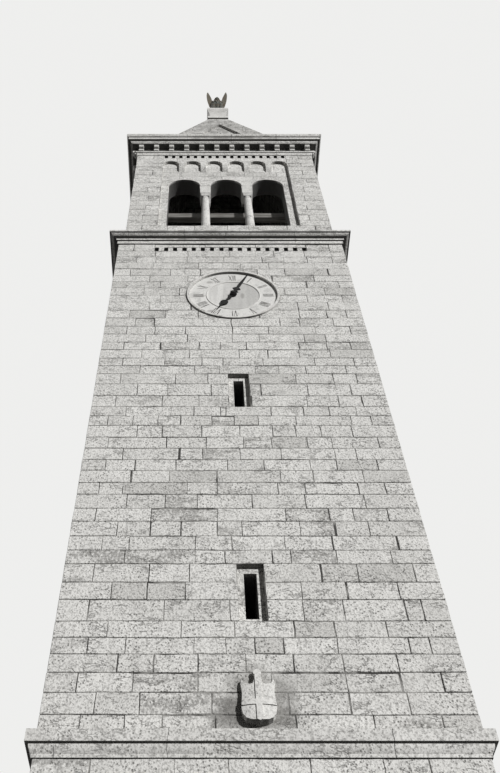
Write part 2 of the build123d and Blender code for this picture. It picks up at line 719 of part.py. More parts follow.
# Spire: four mitred slabs, each with a shallow sunken triangle on its face
spire_profile = outline(
    (SPIRE_BASE_WIDTH / 2 - SPIRE_SHELL, ENTABLATURE_TOP),
    (SPIRE_BASE_WIDTH / 2, ENTABLATURE_TOP),
    (SPIRE_TOP_WIDTH / 2, SPIRE_TOP),
    (SPIRE_TOP_WIDTH / 2 - SPIRE_SHELL, SPIRE_TOP),
)
spire_run = (SPIRE_BASE_WIDTH - SPIRE_TOP_WIDTH) / 2
for side, turn in SIDES.items():
    slope = Plane(
        origin=outward(turn) * (SPIRE_BASE_WIDTH / 2) + Vector(0, 0, ENTABLATURE_TOP),
        x_dir=along(turn),
        z_dir=outward(turn) * SPIRE_HEIGHT + Vector(0, 0, spire_run),
    )
    with BuildPart() as spire_face:
        add(mitred(spire_profile, turn))
        with BuildSketch(slope):
            Polygon(
                (-SPIRE_PANEL_WIDTH / 2, 0),
                (SPIRE_PANEL_WIDTH / 2, 0),
                (0, SPIRE_PANEL_HEIGHT),
                align=None,
            )
        extrude(amount=-SPIRE_PANEL_DEPTH, mode=Mode.SUBTRACT)
    save(spire_face.part, f"spire_{side}")

# Cap that closes the spire: a sloping shoulder under a square neck
cap_profile = mirrored(
    (
        (SPIRE_TOP_WIDTH / 2, SPIRE_TOP),
        (CAP_SHOULDER_WIDTH / 2, CAP_NECK_BOTTOM),
        (CAP_NECK_WIDTH / 2, CAP_NECK_BOTTOM),
        (CAP_NECK_WIDTH / 2, PEDESTAL_BOTTOM),
    )
)
with BuildPart() as spire_cap:
    with BuildSketch(section(0)):
        add(cap_profile)
    extrude(amount=SPIRE_TOP_WIDTH, both=True)
    with BuildSketch(section(90)):
        add(cap_profile)
    extrude(amount=SPIRE_TOP_WIDTH, both=True, mode=Mode.INTERSECT)
save(spire_cap.part, "spire_cap")

# Pedestal: base mould, die that flares to a flat cap
with BuildSketch() as pedestal_profile:
    with BuildLine():
        base = PEDESTAL_BASE_WIDTH / 2
        die = PEDESTAL_DIE_WIDTH / 2
        cap = PEDESTAL_CAP_WIDTH / 2
        die_bottom = PEDESTAL_BOTTOM + PEDESTAL_BASE_HEIGHT
        cap_bottom = PEDESTAL_TOP - PEDESTAL_CAP_HEIGHT
        Polyline((die, die_bottom), (base, die_bottom), (base, PEDESTAL_BOTTOM))
        Polyline((base, PEDESTAL_BOTTOM), (-base, PEDESTAL_BOTTOM), (-base, die_bottom))
        Line((-base, die_bottom), (-die, die_bottom))
        bulged((-die, die_bottom), (-cap, cap_bottom), -PEDESTAL_FLARE_HOLLOW)
        Polyline((-cap, cap_bottom), (-cap, PEDESTAL_TOP), (cap, PEDESTAL_TOP), (cap, cap_bottom))
        bulged((cap, cap_bottom), (die, die_bottom), -PEDESTAL_FLARE_HOLLOW)
    make_face()
with BuildPart() as pedestal:
    with BuildSketch(section(0)):
        add(pedestal_profile.sketch)
    extrude(amount=PEDESTAL_CAP_WIDTH, both=True)
    with BuildSketch(section(90)):
        add(pedestal_profile.sketch)
    extrude(amount=PEDESTAL_CAP_WIDTH, both=True, mode=Mode.INTERSECT)
save(pedestal.part, "pedestal")

# Seated winged lion in plain blocks: body, chest, head, muzzle, legs, paws and wings
wing_plane = Plane(
    origin=(0, LION_WING_THICKNESS / 2, PEDESTAL_TOP + LION_WING_ROOT),
    x_dir=(1, 0, 0),
    z_dir=Vector(0, -1, 0).rotate(Axis.X, LION_WING_LEAN),
)
with BuildPart() as winged_lion:
    with BuildSketch(level(PEDESTAL_TOP)):
        Rectangle(LION_PLINTH_WIDTH, LION_PLINTH_WIDTH)
    extrude(amount=LION_PLINTH_HEIGHT)
    for bottom, top, centre, size, shift, scale in LION_BODY_BLOCKS:
        add(tapered(PEDESTAL_TOP + bottom, PEDESTAL_TOP + top, centre, size, shift, scale))
    for bottom, top, centre, size, shift, scale in LION_RIGHT_BLOCKS:
        limb = tapered(PEDESTAL_TOP + bottom, PEDESTAL_TOP + top, centre, size, shift, scale)
        add(limb)
        add(mirror(limb, about=Plane.YZ))
    with BuildSketch(wing_plane):
        wing = outline(*LION_WING_OUTLINE)
        add(wing)
        add(mirror(wing, about=Plane.YZ))
    extrude(amount=LION_WING_THICKNESS)
save(winged_lion.part, "winged_lion")

# Shield with a plain cross and a bead on top, leaning out at its lower end
shield_bottom = SHAFT_BOTTOM + SHIELD_ABOVE_STRING
lean_plane = Plane(
    origin=(0, -SHAFT_HALF - SHIELD_DEPTH, shield_bottom),
    x_dir=(1, 0, 0),
    z_dir=Vector(0, 0, 1).rotate(Axis.X, -SHIELD_LEAN),
)
with BuildSketch() as shield_outline:
    add(mirrored(SHIELD_HALF_OUTLINE))
    with Locations((0, FINIAL_HEIGHT)):
        RegularPolygon(FINIAL_DIAMETER / 2, 16)
with BuildSketch() as cross_outline:
    with Locations((0, FINIAL_HEIGHT / 2)):
        Rectangle(CROSS_WIDTH, FINIAL_HEIGHT)
    with Locations((0, CROSS_ARM_HEIGHT)):
        Rectangle(2 * SHIELD_CURVE, CROSS_WIDTH)
    add(mirrored(SHIELD_HALF_OUTLINE), mode=Mode.INTERSECT)
with BuildPart() as shield:
    for shape, relief in ((shield_outline, 0), (cross_outline, CROSS_RELIEF)):
        with BuildPart() as layer:
            with BuildSketch(elevation(SHAFT_HALF)):
                with Locations((0, shield_bottom)):
                    add(shape.sketch)
            extrude(amount=SHIELD_DEPTH + relief)
            with BuildSketch(lean_plane):
                with Locations((0, SHIELD_CURVE)):
                    Circle(SHIELD_CURVE + relief)
            extrude(amount=2 * FINIAL_HEIGHT, both=True, mode=Mode.INTERSECT)
save(shield.part, "shield")

# Rim round the clock
with BuildPart() as clock_rim:
    with BuildSketch(elevation(SHAFT_HALF)):
        with Locations((0, CLOCK_CENTRE)):
            RegularPolygon(CLOCK_DIAMETER / 2, CLOCK_SIDES)
            RegularPolygon(DIAL_DIAMETER / 2, CLOCK_SIDES, mode=Mode.SUBTRACT)
    extrude(amount=CLOCK_RIM_DEPTH)
save(clock_rim.part, "clock_rim")

# Dial, let into the wall behind the rim
with BuildPart() as dial:
    with BuildSketch(elevation(SHAFT_HALF - DIAL_POCKET_DEPTH)):
        with Locations((0, CLOCK_CENTRE)):
            RegularPolygon(DIAL_DIAMETER / 2, CLOCK_SIDES)
    extrude(amount=DIAL_THICKNESS)
save(dial.part, "dial")

# Arbor that carries both hands, with its boss and retaining nut
hour_plane = DIAL_FACE + HAND_CLEARANCE
minute_plane = hour_plane + HUB_THICKNESS + HUB_GAP
arbor_end = minute_plane + HUB_THICKNESS + HUB_GAP
with BuildPart() as clock_arbor:
    with BuildSketch(elevation(DIAL_FACE)):
        with Locations((0, CLOCK_CENTRE)):
            RegularPolygon(ARBOR_BOSS_DIAMETER / 2, ARBOR_BOSS_SIDES)
    extrude(amount=HAND_CLEARANCE - HUB_GAP)
    with BuildSketch(elevation(DIAL_FACE)):
        with Locations((0, CLOCK_CENTRE)):
            Circle(ARBOR_DIAMETER / 2)
    extrude(amount=arbor_end - DIAL_FACE)
    with BuildSketch(elevation(arbor_end)):
        with Locations((0, CLOCK_CENTRE)):
            RegularPolygon(RETAINER_DIAMETER / 2, RETAINER_SIDES)
    extrude(amount=RETAINER_THICKNESS)
save(clock_arbor.part, "clock_arbor")


def make_hand(plane, hub_diameter, half_outline, angle):
    """One hand of the clock, pointing at an angle clockwise from twelve."""
    face = elevation(plane)
    with BuildPart() as hand:
        with BuildSketch(face):
            with Locations((0, CLOCK_CENTRE)):
                Circle(hub_diameter / 2)
        extrude(amount=HUB_THICKNESS)
        with BuildSketch(face):
            with Locations(Location((0, CLOCK_CENTRE, 0), (0, 0, -angle))):
                add(mirrored(half_outline))
        extrude(amount=HAND_THICKNESS)
        with BuildSketch(face):
            with Locations((0, CLOCK_CENTRE)):
                Circle(ARBOR_DIAMETER / 2 + HUB_BORE_CLEARANCE)
        extrude(amount=HUB_THICKNESS, mode=Mode.SUBTRACT)
    return hand.part


save(make_hand(hour_plane, HOUR_HUB_DIAMETER, HOUR_OUTLINE, HOUR_ANGLE), "hour_hand")
save(make_hand(minute_plane, MINUTE_HUB_DIAMETER, MINUTE_OUTLINE, MINUTE_ANGLE), "minute_hand")
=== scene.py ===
"""Looks of a square stone clock tower with an arcaded belfry and a winged lion.

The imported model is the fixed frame. The stones of the walls, the numerals, the
planks, the carving and every finish are added round it, in metres.
"""

import json
import logging
import math
import random
from collections.abc import Callable
from dataclasses import dataclass, replace
from enum import Enum
from functools import cached_property
from typing import ClassVar

import bmesh
import bpy
from mathutils import Matrix, Vector


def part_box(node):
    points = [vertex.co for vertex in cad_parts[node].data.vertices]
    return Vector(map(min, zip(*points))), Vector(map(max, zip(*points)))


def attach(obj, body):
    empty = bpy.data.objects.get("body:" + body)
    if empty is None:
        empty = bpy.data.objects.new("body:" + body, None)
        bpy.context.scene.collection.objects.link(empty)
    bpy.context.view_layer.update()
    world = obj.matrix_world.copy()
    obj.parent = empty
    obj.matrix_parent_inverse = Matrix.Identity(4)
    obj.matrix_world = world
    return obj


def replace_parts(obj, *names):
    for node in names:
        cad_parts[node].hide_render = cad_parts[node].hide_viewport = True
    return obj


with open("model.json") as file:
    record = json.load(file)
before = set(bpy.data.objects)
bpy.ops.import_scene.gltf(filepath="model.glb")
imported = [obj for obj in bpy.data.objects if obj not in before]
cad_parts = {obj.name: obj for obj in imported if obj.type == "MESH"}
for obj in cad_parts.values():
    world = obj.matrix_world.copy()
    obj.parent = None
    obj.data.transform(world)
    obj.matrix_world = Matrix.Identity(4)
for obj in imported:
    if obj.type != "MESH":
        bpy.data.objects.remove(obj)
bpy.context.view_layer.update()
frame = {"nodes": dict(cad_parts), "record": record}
TOWER = "tower"
AHEAD = Matrix.Rotation(math.radians(90), 4, "X")
ARRIS = 0.004
LOG = logging.getLogger("clock_tower")

Pair = tuple[float, float]
Triple = tuple[float, float, float]
Quad = tuple[float, float, float, float]
Colour = Triple
Rect = Quad
Settings = dict[str, object] | None
Inputs = dict[int | str, object] | None


class Side(Enum):
    """A side of the tower and the turn about +Z that brings the front to it."""

    FRONT = 0
    RIGHT = 90
    BACK = 180
    LEFT = 270

    @property
    def label(self) -> str:
        """Name of the side as the nodes spell it."""
        return self.name.lower()

    @property
    def turn(self) -> float:
        """Turn of the side in radians."""
        return math.radians(self.value)

    @property
    def matrix(self) -> Matrix:
        """Rotation that brings the front to this side."""
        return Matrix.Rotation(self.turn, 4, "Z")


class Run(Enum):
    """Which object coordinate runs along the courses of a stone surface."""

    X = "x"
    Y = "y"
    ROUND = "round"


@dataclass(frozen=True)
class Plan:
    """Widths and levels of the tower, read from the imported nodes."""

    shaft: float
    belfry: float
    panel: float
    panel_plane: float
    base_top: float
    shaft_foot: float
    shaft_top: float
    belfry_foot: float
    parapet_top: float
    belfry_top: float
    arch_spring: float
    bracket_foot: float
    dial_centre: float
    dial_face: float
    dial_radius: float
    slits: tuple[float, ...]

    @classmethod
    def read(cls) -> "Plan":
        """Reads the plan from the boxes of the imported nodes.

        Returns:
            The plan.
        """
        base_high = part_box("base_wall_front")[1]
        shaft_low, shaft_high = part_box("shaft_wall_front")
        pier_low, pier_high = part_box("belfry_piers")
        parapet_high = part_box("belfry_parapets")[1]
        head_low, head_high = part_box("head_wall_front")
        dial_low, dial_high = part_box("dial")
        openings = frame["record"]["physics"]["openings"]
        slits = [o["box_m"] for o in openings if o["name"].startswith("slit_front")]
        return cls(
            shaft=base_high.x,
            belfry=pier_high.x,
            panel=head_high.x,
            panel_plane=-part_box("belfry_columns")[0].y,
            base_top=base_high.z,
            shaft_foot=shaft_low.z,
            shaft_top=shaft_high.z,
            belfry_foot=pier_low.z,
            parapet_top=parapet_high.z,
            belfry_top=pier_high.z,
            arch_spring=head_low.z,
            bracket_foot=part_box("cornice_brackets")[0].z,
            dial_centre=(dial_low.z + dial_high.z) / 2,
            dial_face=dial_low.y,
            dial_radius=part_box("clock_rim")[1].x,
            slits=tuple((low[2] + high[2]) / 2 for low, high in slits),
        )


class Sock:
    """A shader socket, on which arithmetic adds Math nodes."""

    def __init__(self, shade: "Shade", socket: bpy.types.NodeSocket) -> None:
        """Keeps the socket and the tree it belongs to."""
        self.shade = shade
        self.socket = socket

    def math(self, operation: str, *others: "Sock | float") -> "Sock":
        """Adds one Math node.

        Args:
            operation: Name of the Math node's operation.
            others: The other operands.

        Returns:
            The result.
        """
        operands = dict(enumerate((self, *others)))
        return self.shade.node("ShaderNodeMath", {"operation": operation}, operands)

    def __add__(self, other: "Sock | float") -> "Sock":
        """Sum."""
        return self.math("ADD", other)

    def __sub__(self, other: "Sock | float") -> "Sock":
        """Difference."""
        return self.math("SUBTRACT", other)

    def __rsub__(self, other: float) -> "Sock":
        """Difference from a number."""
        return self.shade.node("ShaderNodeMath", {"operation": "SUBTRACT"}, {0: other, 1: self})

    def __mul__(self, other: "Sock | float") -> "Sock":
        """Product."""
        return self.math("MULTIPLY", other)

    def __truediv__(self, other: "Sock | float") -> "Sock":
        """Quotient."""
        return self.math("DIVIDE", other)

    __radd__ = __add__
    __rmul__ = __mul__

    def above(self, limit: float, soft: float) -> "Sock":
        """Mask that rises from 0 to 1 round a limit.

        Args:
            limit: Where it is a half.
            soft: How far on either side of the limit it still changes.

        Returns:
            The mask.
        """
        settings = {"interpolation_type": "SMOOTHSTEP"}
        inputs = {"Value": self, "From Min": limit - soft, "From Max": limit + soft}
        return self.shade.node("ShaderNodeMapRange", settings, inputs)

    def below(self, limit: float, soft: float) -> "Sock":
        """Mask that falls from 1 to 0 over a soft width round a limit."""
        return 1 - self.above(limit, soft)


def add_node(
    tree: bpy.types.NodeTree, kind: str, settings: Settings = None, inputs: Inputs = None
) -> bpy.types.Node:
    """Adds one node to a tree.

    Args:
        tree: The tree.
        kind: Blender's name of the node type.
        settings: Properties that are set before the sockets.
        inputs: Values or links of the input sockets, by index or name.

    Returns:
        The node.
    """
    node = tree.nodes.new(kind)
    for key, value in (settings or {}).items():
        setattr(node, key, value)
    for key, value in (inputs or {}).items():
        given = value.socket if isinstance(value, Sock) else value
        if isinstance(given, bpy.types.NodeSocket):
            tree.links.new(given, node.inputs[key])
        else:
            node.inputs[key].default_value = given
    return node


class Shade:
    """One material, or the world, built node by node."""

    def __init__(self, name: str, world: bool = False) -> None:
        """Makes it empty.

        Args:
            name: Its name.
            world: Whether it is a world.
        """
        self.made = (bpy.data.worlds if world else bpy.data.materials).new(name)
        self.made.use_nodes = True
        self.tree = self.made.node_tree
        self.tree.nodes.clear()

    @cached_property
    def place(self) -> Sock:
        """Object coordinates."""
        return self.node("ShaderNodeTexCoord", output="Object")

    def node(
        self, kind: str, settings: Settings = None, inputs: Inputs = None, output: int | str = 0
    ) -> Sock:
        """Adds one node.

        Args:
            kind: Blender's name of the node type.
            settings: Properties that are set before the sockets.
            inputs: Values or links of the input sockets, by index or name.
            output: The output socket that is returned.

        Returns:
            The chosen output.
        """
        return Sock(self, add_node(self.tree, kind, settings, inputs).outputs[output])

    def split(self, vector: Sock) -> tuple[Sock, Sock, Sock]:
        """Splits a vector.

        Args:
            vector: The vector.

        Returns:
            Its three numbers.
        """
        x = self.node("ShaderNodeSeparateXYZ", inputs={0: vector}, output=0)
        made = x.socket.node
        return x, Sock(self, made.outputs[1]), Sock(self, made.outputs[2])

    def join(self, x: Sock | float, y: Sock | float, z: Sock | float) -> Sock:
        """Joins three numbers into a vector."""
        return self.node("ShaderNodeCombineXYZ", inputs={0: x, 1: y, 2: z})

    def scaled(self, x: float, y: float, z: float) -> Sock:
        """Object coordinates scaled along each axis."""
        inputs = {0: self.place, 1: (x, y, z)}
        return self.node("ShaderNodeVectorMath", {"operation": "MULTIPLY"}, inputs)

    def reach(self) -> Sock:
        """Distance from the tower's axis, on the longer of x and y."""
        x, y, _ = self.split(self.place)
        return x.math("ABSOLUTE").math("MAXIMUM", y.math("ABSOLUTE"))

    def noise(self, scale: float, detail: float = 4.0, vector: Sock | None = None) -> Sock:
        """Adds a noise.

        Args:
            scale: Its scale, in waves a metre on object coordinates.
            detail: Its octaves.
            vector: What it is read at, by default object coordinates.

        Returns:
            The noise, between 0 and 1.
        """
        inputs = {"Vector": vector or self.place, "Scale": scale, "Detail": detail}
        return self.node("ShaderNodeTexNoise", inputs=inputs)

    def mix(self, factor: Sock | float, first: Sock | Colour, second: Sock | Colour) -> Sock:
        """Mixes two colours.

        Args:
            factor: 0 for the first and 1 for the second.
            first: The first colour.
            second: The second colour.

        Returns:
            The colour between them.
        """
        first, second = (c if isinstance(c, Sock) else (*c, 1.0) for c in (first, second))
        inputs = {0: factor, 6: first, 7: second}
        return self.node("ShaderNodeMix", {"data_type": "RGBA"}, inputs, output=2)

    def spot(self, x: Sock, z: Sock, stain: Quad, rough: Sock, soft: float) -> Sock:
        """Masks a ragged oval stain.

        Args:
            x: Place across.
            z: Place upwards.
            stain: Its centre across and upwards, and its half sizes.
            rough: What makes its edge ragged.
            soft: Softness of its edge.

        Returns:
            The mask.
        """
        across, up, wide, high = stain
        dx, dz = (x - across) / wide, (z - up) / high
        return (dx * dx + dz * dz + rough).below(0.75, soft)

    def seen(self) -> Sock:
        """Masks the rays that look at a surface.

        Returns:
            1 for a ray from the camera, off a glossy surface or through a clear one.
        """
        mask = self.node("ShaderNodeLightPath", output="Is Camera Ray")
        outputs = mask.socket.node.outputs
        for other in ("Is Glossy Ray", "Is Transmission Ray"):
            mask = mask.math("MAXIMUM", Sock(self, outputs[other]))
        return mask

    def bump(self, height: Sock, depth: float) -> Sock:
        """Bump from a height between 0 and 1 that stands for a depth in metres."""
        inputs = {"Height": height, "Distance": depth, "Strength": 1.0}
        return self.node("ShaderNodeBump", inputs=inputs)

    def end(self, shader: Sock) -> None:
        """Links a shader to the output of the material or the world."""
        world = isinstance(self.made, bpy.types.World)
        out = self.tree.nodes.new("ShaderNodeOutputWorld" if world else "ShaderNodeOutputMaterial")
        self.tree.links.new(shader.socket, out.inputs[0])

    def close(
        self, colour: Sock, roughness: Sock | float, normal: Sock | None = None,
        others: dict[str, object] | None = None,
    ) -> bpy.types.Material:
        """Ends the tree in a Principled shader.

        Args:
            colour: The base colour.
            roughness: The roughness.
            normal: The normal, or None for the surface's own.
            others: Values or links of the shader's other inputs.

        Returns:
            The finished material.
        """
        inputs = {"Base Color": colour, "Roughness": roughness, **(others or {})}
        if normal is not None:
            inputs["Normal"] = normal
        self.end(self.node("ShaderNodeBsdfPrincipled", inputs=inputs))
        return self.made


@dataclass(frozen=True)
class Limestone:
    """Pale, rough, pitted limestone with thin broken joints.

    Attributes:
        pale, dull: Colours of the clean and the weathered stone.
        dark: Colour of its specks, pits, cracks, streaks and washes, and of painted shadow.
        mortar, joint_colour: Colours of a filled and an open joint.
        soot: Colour of the painted shade.
        course: Height of a drawn course, or 0 where there is only one.
        length, joint: Length of a drawn block, and width of a drawn joint.
        roughness, relief: Roughness of its surface, and depth of its bump.
        smoke: Share of the dark patches that every stone has.
        grains: Waves a metre of its clouds, mottling, tooling and stipple.
        pit_grain: Pits a metre.
        darkness: How dark its specks, patches, stipple, pits and cracks are at most.
        pitting: How strongly all of them but the patches show.
        crust: How black the painted shade on its hanging faces is.
        hanging: Upward part of the normal below which a face hangs, and its softness.
        streaks: Level of the noise at which rain streaks begin, and how dark they are.
        deep: How far behind a wall's face its painted shade begins.
        sooted_by: How black the painted shade inside a wall is.
    """

    pale: Colour = (0.760, 0.750, 0.722)
    dull: Colour = (0.570, 0.561, 0.536)
    dark: Colour = (0.150, 0.145, 0.135)
    mortar: Colour = (0.270, 0.264, 0.250)
    joint_colour: Colour = (0.040, 0.038, 0.035)
    soot: Colour = (0.030, 0.029, 0.027)
    course: float = 0.305
    length: float = 0.92
    joint: float = 0.005
    roughness: float = 0.90
    relief: float = 0.020
    smoke: float = 0.15
    grains: Quad = (1.1, 8.0, 24.0, 42.0)
    pit_grain: float = 21.0
    darkness: tuple[float, float, float, float, float] = (0.42, 0.60, 0.55, 0.80, 0.70)
    pitting: float = 0.88
    crust: float = 0.80
    hanging: Pair = (-0.80, 0.12)
    streaks: Pair = (0.62, 0.10)
    deep: float = 0.16
    sooted_by: float = 0.94

    def stone_colour(self, shade: Shade, tone: Sock) -> tuple[Sock, Sock]:
        """Colour and relief of the bare stone, with painted shade on its hanging faces.

        Args:
            shade: The material being built.
            tone: A number between 0 and 1 for each block.

        Returns:
            The colour and a height between 0 and 1.
        """
        cloud, mottle, tooled, stipple = (
            shade.noise(grain, detail) for grain, detail in zip(self.grains, (3.0, 5.0, 3.0, 2.0))
        )
        body = tone * 0.30 + cloud * 0.26 + mottle * 0.28 + 0.13
        inputs = {"Vector": shade.place, "Scale": self.pit_grain}
        holes = shade.node("ShaderNodeTexVoronoi", inputs=inputs)
        pitted = shade.noise(2.2, 4.0).above(0.50, 0.12)
        pits = holes.below(0.26, 0.10) * (pitted * 0.75 + 0.25)
        slant = {"Vector": shade.place, "Rotation": (0.0, 0.6, 0.0), "Scale": (1.0, 1.0, 2.2)}
        thread = shade.noise(5.0, 3.0, shade.node("ShaderNodeMapping", inputs=slant)) - 0.5
        cracked = shade.noise(2.6, 4.0).above(0.53, 0.05)
        cracks = thread.math("ABSOLUTE").below(0.020, 0.014) * cracked
        smoked = tone.above(0.60, 0.01) * tone.below(0.70, 0.01) * (1.0 - self.smoke) + self.smoke
        cover = shade.noise(1.0, 4.0, shade.scaled(2.0, 2.0, 5.0)).above(0.50, 0.09)
        streaks_from, streaked = self.streaks
        specked, patched, stippled, pits_dark, cracks_dark = self.darkness
        streaks = shade.noise(1.0, 4.0, shade.scaled(5.0, 5.0, 0.45)).above(streaks_from, 0.07)
        darkened = (
            (tooled.above(0.58, 0.05), specked * self.pitting),
            (cover * smoked * tooled.above(0.44, 0.10), patched),
            (stipple.above(0.57, 0.05), stippled * self.pitting),
            (pits, pits_dark * self.pitting),
            (cracks, cracks_dark * self.pitting),
            (streaks, streaked),
        )
        colour = shade.mix(body.above(0.52, 0.30), self.dull, self.pale)
        for mask, amount in darkened:
            colour = shade.mix(mask * amount, colour, self.dark)
        # Painted shade: faces that hang downwards darken, as under mouldings, soffits and stone
        # beds.
        facing = shade.node("ShaderNodeNewGeometry", output="True Normal")
        under = shade.split(facing)[2].below(*self.hanging)
        colour = shade.mix(under * self.crust, colour, self.soot)
        height = mottle * 0.22 + tooled * 0.60 + stipple * 0.20
        return colour, height + (1 - pits) * 0.40 + (1 - cracks) * 0.30

    def sooted(self, shade: Shade, colour: Sock, limit: float) -> Sock:
        """Painted shade: blackens what is nearer to the tower's axis than a limit, inside a wall.
        """
        inside = shade.reach().below(limit, 0.035)
        return shade.mix(inside * self.sooted_by, colour, self.soot)

    def cells(self, shade: Shade, run: Run) -> tuple[Sock, Sock]:
        """Blocks drawn on a surface by its coordinates.

        Args:
            shade: The material being built.
            run: The coordinate that runs along the courses.

        Returns:
            A tone for each block and a mask of the joints.
        """
        x, y, z = shade.split(shade.place)
        along = {Run.X: x, Run.Y: y, Run.ROUND: x + y}[run]
        row_at = z / self.course if self.course else z * 0.0
        row = row_at.math("FLOOR")
        shift = shade.node("ShaderNodeTexWhiteNoise", {"noise_dimensions": "1D"}, {"W": row + 0.37})
        wobble = (shade.noise(7.0, 2.0) - 0.5) * 0.05
        cell_at = along / self.length + shift * 7.0 + wobble
        cell = cell_at.math("FLOOR")
        tone = shade.node("ShaderNodeTexWhiteNoise", inputs={"Vector": shade.join(cell, row, 0.5)})
        side = (cell_at.math("FRACT") - 0.5).math("ABSOLUTE")
        joints = side.above(0.5 - self.joint / self.length, 0.002)
        if self.course:
            bed = ((row_at + wobble * 0.3).math("FRACT") - 0.5).math("ABSOLUTE")
            joints = joints.math("MAXIMUM", bed.above(0.5 - self.joint / self.course, 0.004))
        broken = shade.noise(3.0, 4.0).above(0.48, 0.08) * 0.75 + 0.15
        return tone, joints * broken

    def drawn(
        self, name: str, run: Run, inside: float = 0.0, washes: tuple[Rect, ...] = (),
        shade_band: Triple = (0.0, 0.0, 0.0),
    ) -> bpy.types.Material:
        """Stone whose joints are drawn on the surface.

        Args:
            name: Name of the material.
            run: The coordinate that runs along the courses.
            inside: Distance from the axis within which shade is painted on, or 0.
            washes: Left, right, bottom and top of the darker washed stretches.
            shade_band: Bottom and top of a band of painted shade, and the distance from
            the axis within which it is, or 0 for no such band.

        Returns:
            The material.
        """
        shade = Shade(name)
        tone, joints = self.cells(shade, run)
        colour, height = self.stone_colour(shade, tone)
        # Painted shade inside the wall.
        if inside:
            colour = self.sooted(shade, colour, inside)
        x, y, z = shade.split(shade.place)
        along = y if run is Run.Y else x
        for left, right, bottom, top in washes:
            across = along.above(left, 0.30) * along.below(right, 0.30)
            wash = across * z.above(bottom, 0.012) * z.below(top, 0.012)
            broken = shade.noise(4.0, 5.0).above(0.46, 0.12) * 0.60 + 0.08
            colour = shade.mix(wash * broken, colour, self.dark)
        colour = shade.mix(joints, colour, self.joint_colour)
        # Painted shade: a nearly black band, as between the brackets under the corona.
        bottom, top, limit = shade_band
        if limit:
            band = z.above(bottom, 0.010) * z.below(top, 0.010) * shade.reach().below(limit, 0.006)
            colour = shade.mix(band * 0.92, colour, self.soot)
        normal = shade.bump(height * 0.6 + (1 - joints) * 0.4, self.relief)
        return shade.close(colour, self.roughness, normal)

    def dressed(self, name: str) -> bpy.types.Material:
        """Smoothly dressed stone without joints, for carved pieces.

        Args:
            name: Name of the material.

        Returns:
            The material.
        """
        shade = Shade(name)
        colour, height = self.stone_colour(shade, shade.noise(0.9, 2.0) * 0.55 + 0.25)
        return shade.close(colour, self.roughness, shade.bump(height, self.relief * 0.45))

    def blocks(self, name: str, shadow_spots: tuple[Quad, ...]) -> bpy.types.Material:
        """Stone of separate blocks, each with its own tone attribute.

        Args:
            name: Name of the material.
            shadow_spots: Painted shadow spots on the front: centre in x and z, and half sizes.

        Returns:
            The material.
        """
        shade = Shade(name)
        tone = shade.node("ShaderNodeAttribute", {"attribute_name": "tone"}, output="Fac")
        colour, height = self.stone_colour(shade, tone)
        x, y, z = shade.split(shade.place)
        rough = (shade.noise(5.0, 5.0) - 0.5) * 1.6
        # Painted shadow: each spot darkens the front.
        for stain in shadow_spots:
            spot = shade.spot(x, z, stain, rough, 0.55) * y.below(0.0, 0.1)
            colour = shade.mix(spot * 0.60, colour, self.dark)
        return shade.close(colour, self.roughness, shade.bump(height, self.relief))

    def backing(self, name: str, half: float, pockets: float = 1000.0) -> bpy.types.Material:
        """Wall behind the facing blocks: mortar on its face, stone elsewhere.

        Args:
            name: Name of the material.
            half: Distance of the wall's face from the tower's axis.
            pockets: Level above which its pockets get painted shade.

        Returns:
            The material.
        """
        shade = Shade(name)
        tone, joints = self.cells(shade, Run.ROUND)
        colour, height = self.stone_colour(shade, tone)
        colour = shade.mix(joints, colour, self.joint_colour)
        # Painted shade inside the wall's openings, and above a level in its pockets.
        colour = self.sooted(shade, colour, half - self.deep)
        reach, z = shade.reach(), shade.split(shade.place)[2]
        pocket = reach.below(half - 0.012, 0.008) * z.above(pockets, 0.02)
        colour = shade.mix(pocket * 0.85, colour, self.soot)
        open_joint = shade.noise(2.2, 4.0).above(0.46, 0.07)
        bed = shade.mix(open_joint, self.mortar, self.joint_colour)
        colour = shade.mix(reach.above(half - 0.003, 0.001), colour, bed)
        return shade.close(colour, self.roughness, shade.bump(height, self.relief))


@dataclass(frozen=True)
class DialMarble:
    """Pale marble of the dial: a light hour ring round a greyer, streaked disc.

    A blotch is the centre and the half sizes of a stain.
    """

    ring: Colour = (0.680, 0.672, 0.648)
    disc: Colour = (0.500, 0.494, 0.476)
    worn: Colour = (0.370, 0.364, 0.350)
    stain: Colour = (0.140, 0.130, 0.118)
    roughness: float = 0.62
    disc_radius: float = 0.585
    blotches: tuple[Quad, ...] = (
        (-0.73, -0.02, 0.10, 0.060),
        (0.20, -0.02, 0.050, 0.13),
        (-0.50, -0.66, 0.07, 0.05),
        (-0.52, 0.58, 0.08, 0.06),
        (0.66, -0.34, 0.09, 0.035),
        (-0.72, 0.30, 0.09, 0.030),
    )

    def material(self, name: str, centre: float) -> bpy.types.Material:
        """Builds the marble.

        Args:
            name: Name of the material.
            centre: Height of the dial's centre.

        Returns:
            The material.
        """
        shade = Shade(name)
        x, _, z = shade.split(shade.place)
        z = z - centre
        radius = (x * x + z * z).math("SQRT")
        cloud, fine = shade.noise(3.0, 5.0), shade.noise(40.0, 4.0)
        ring = shade.mix(cloud.above(0.52, 0.25) * 0.45, self.ring, self.disc)
        streak = shade.noise(1.0, 4.0, shade.scaled(8.0, 1.0, 0.9)).above(0.52, 0.12)
        greyer = (x + cloud * 0.3).above(0.02, 0.28)
        disc = shade.mix(greyer, self.ring, self.disc)
        disc = shade.mix(streak * 0.40, disc, self.worn)
        colour = shade.mix(radius.below(self.disc_radius, 0.004), ring, disc)
        rough = (cloud - 0.5) * 2.0
        for blotch in self.blotches:
            colour = shade.mix(shade.spot(x, z, blotch, rough, 0.75) * 0.55, colour, self.stain)
        outside = radius.above(self.disc_radius + 0.03, 0.02)
        worn = shade.noise(5.0, 5.0).above(0.58, 0.06) * outside
        colour = shade.mix(worn * 0.40, colour, self.worn)
        colour = shade.mix(fine.above(0.60, 0.06) * 0.25, colour, self.stain)
        return shade.close(colour, self.roughness, shade.bump(fine * 0.5 + cloud * 0.5, 0.004))


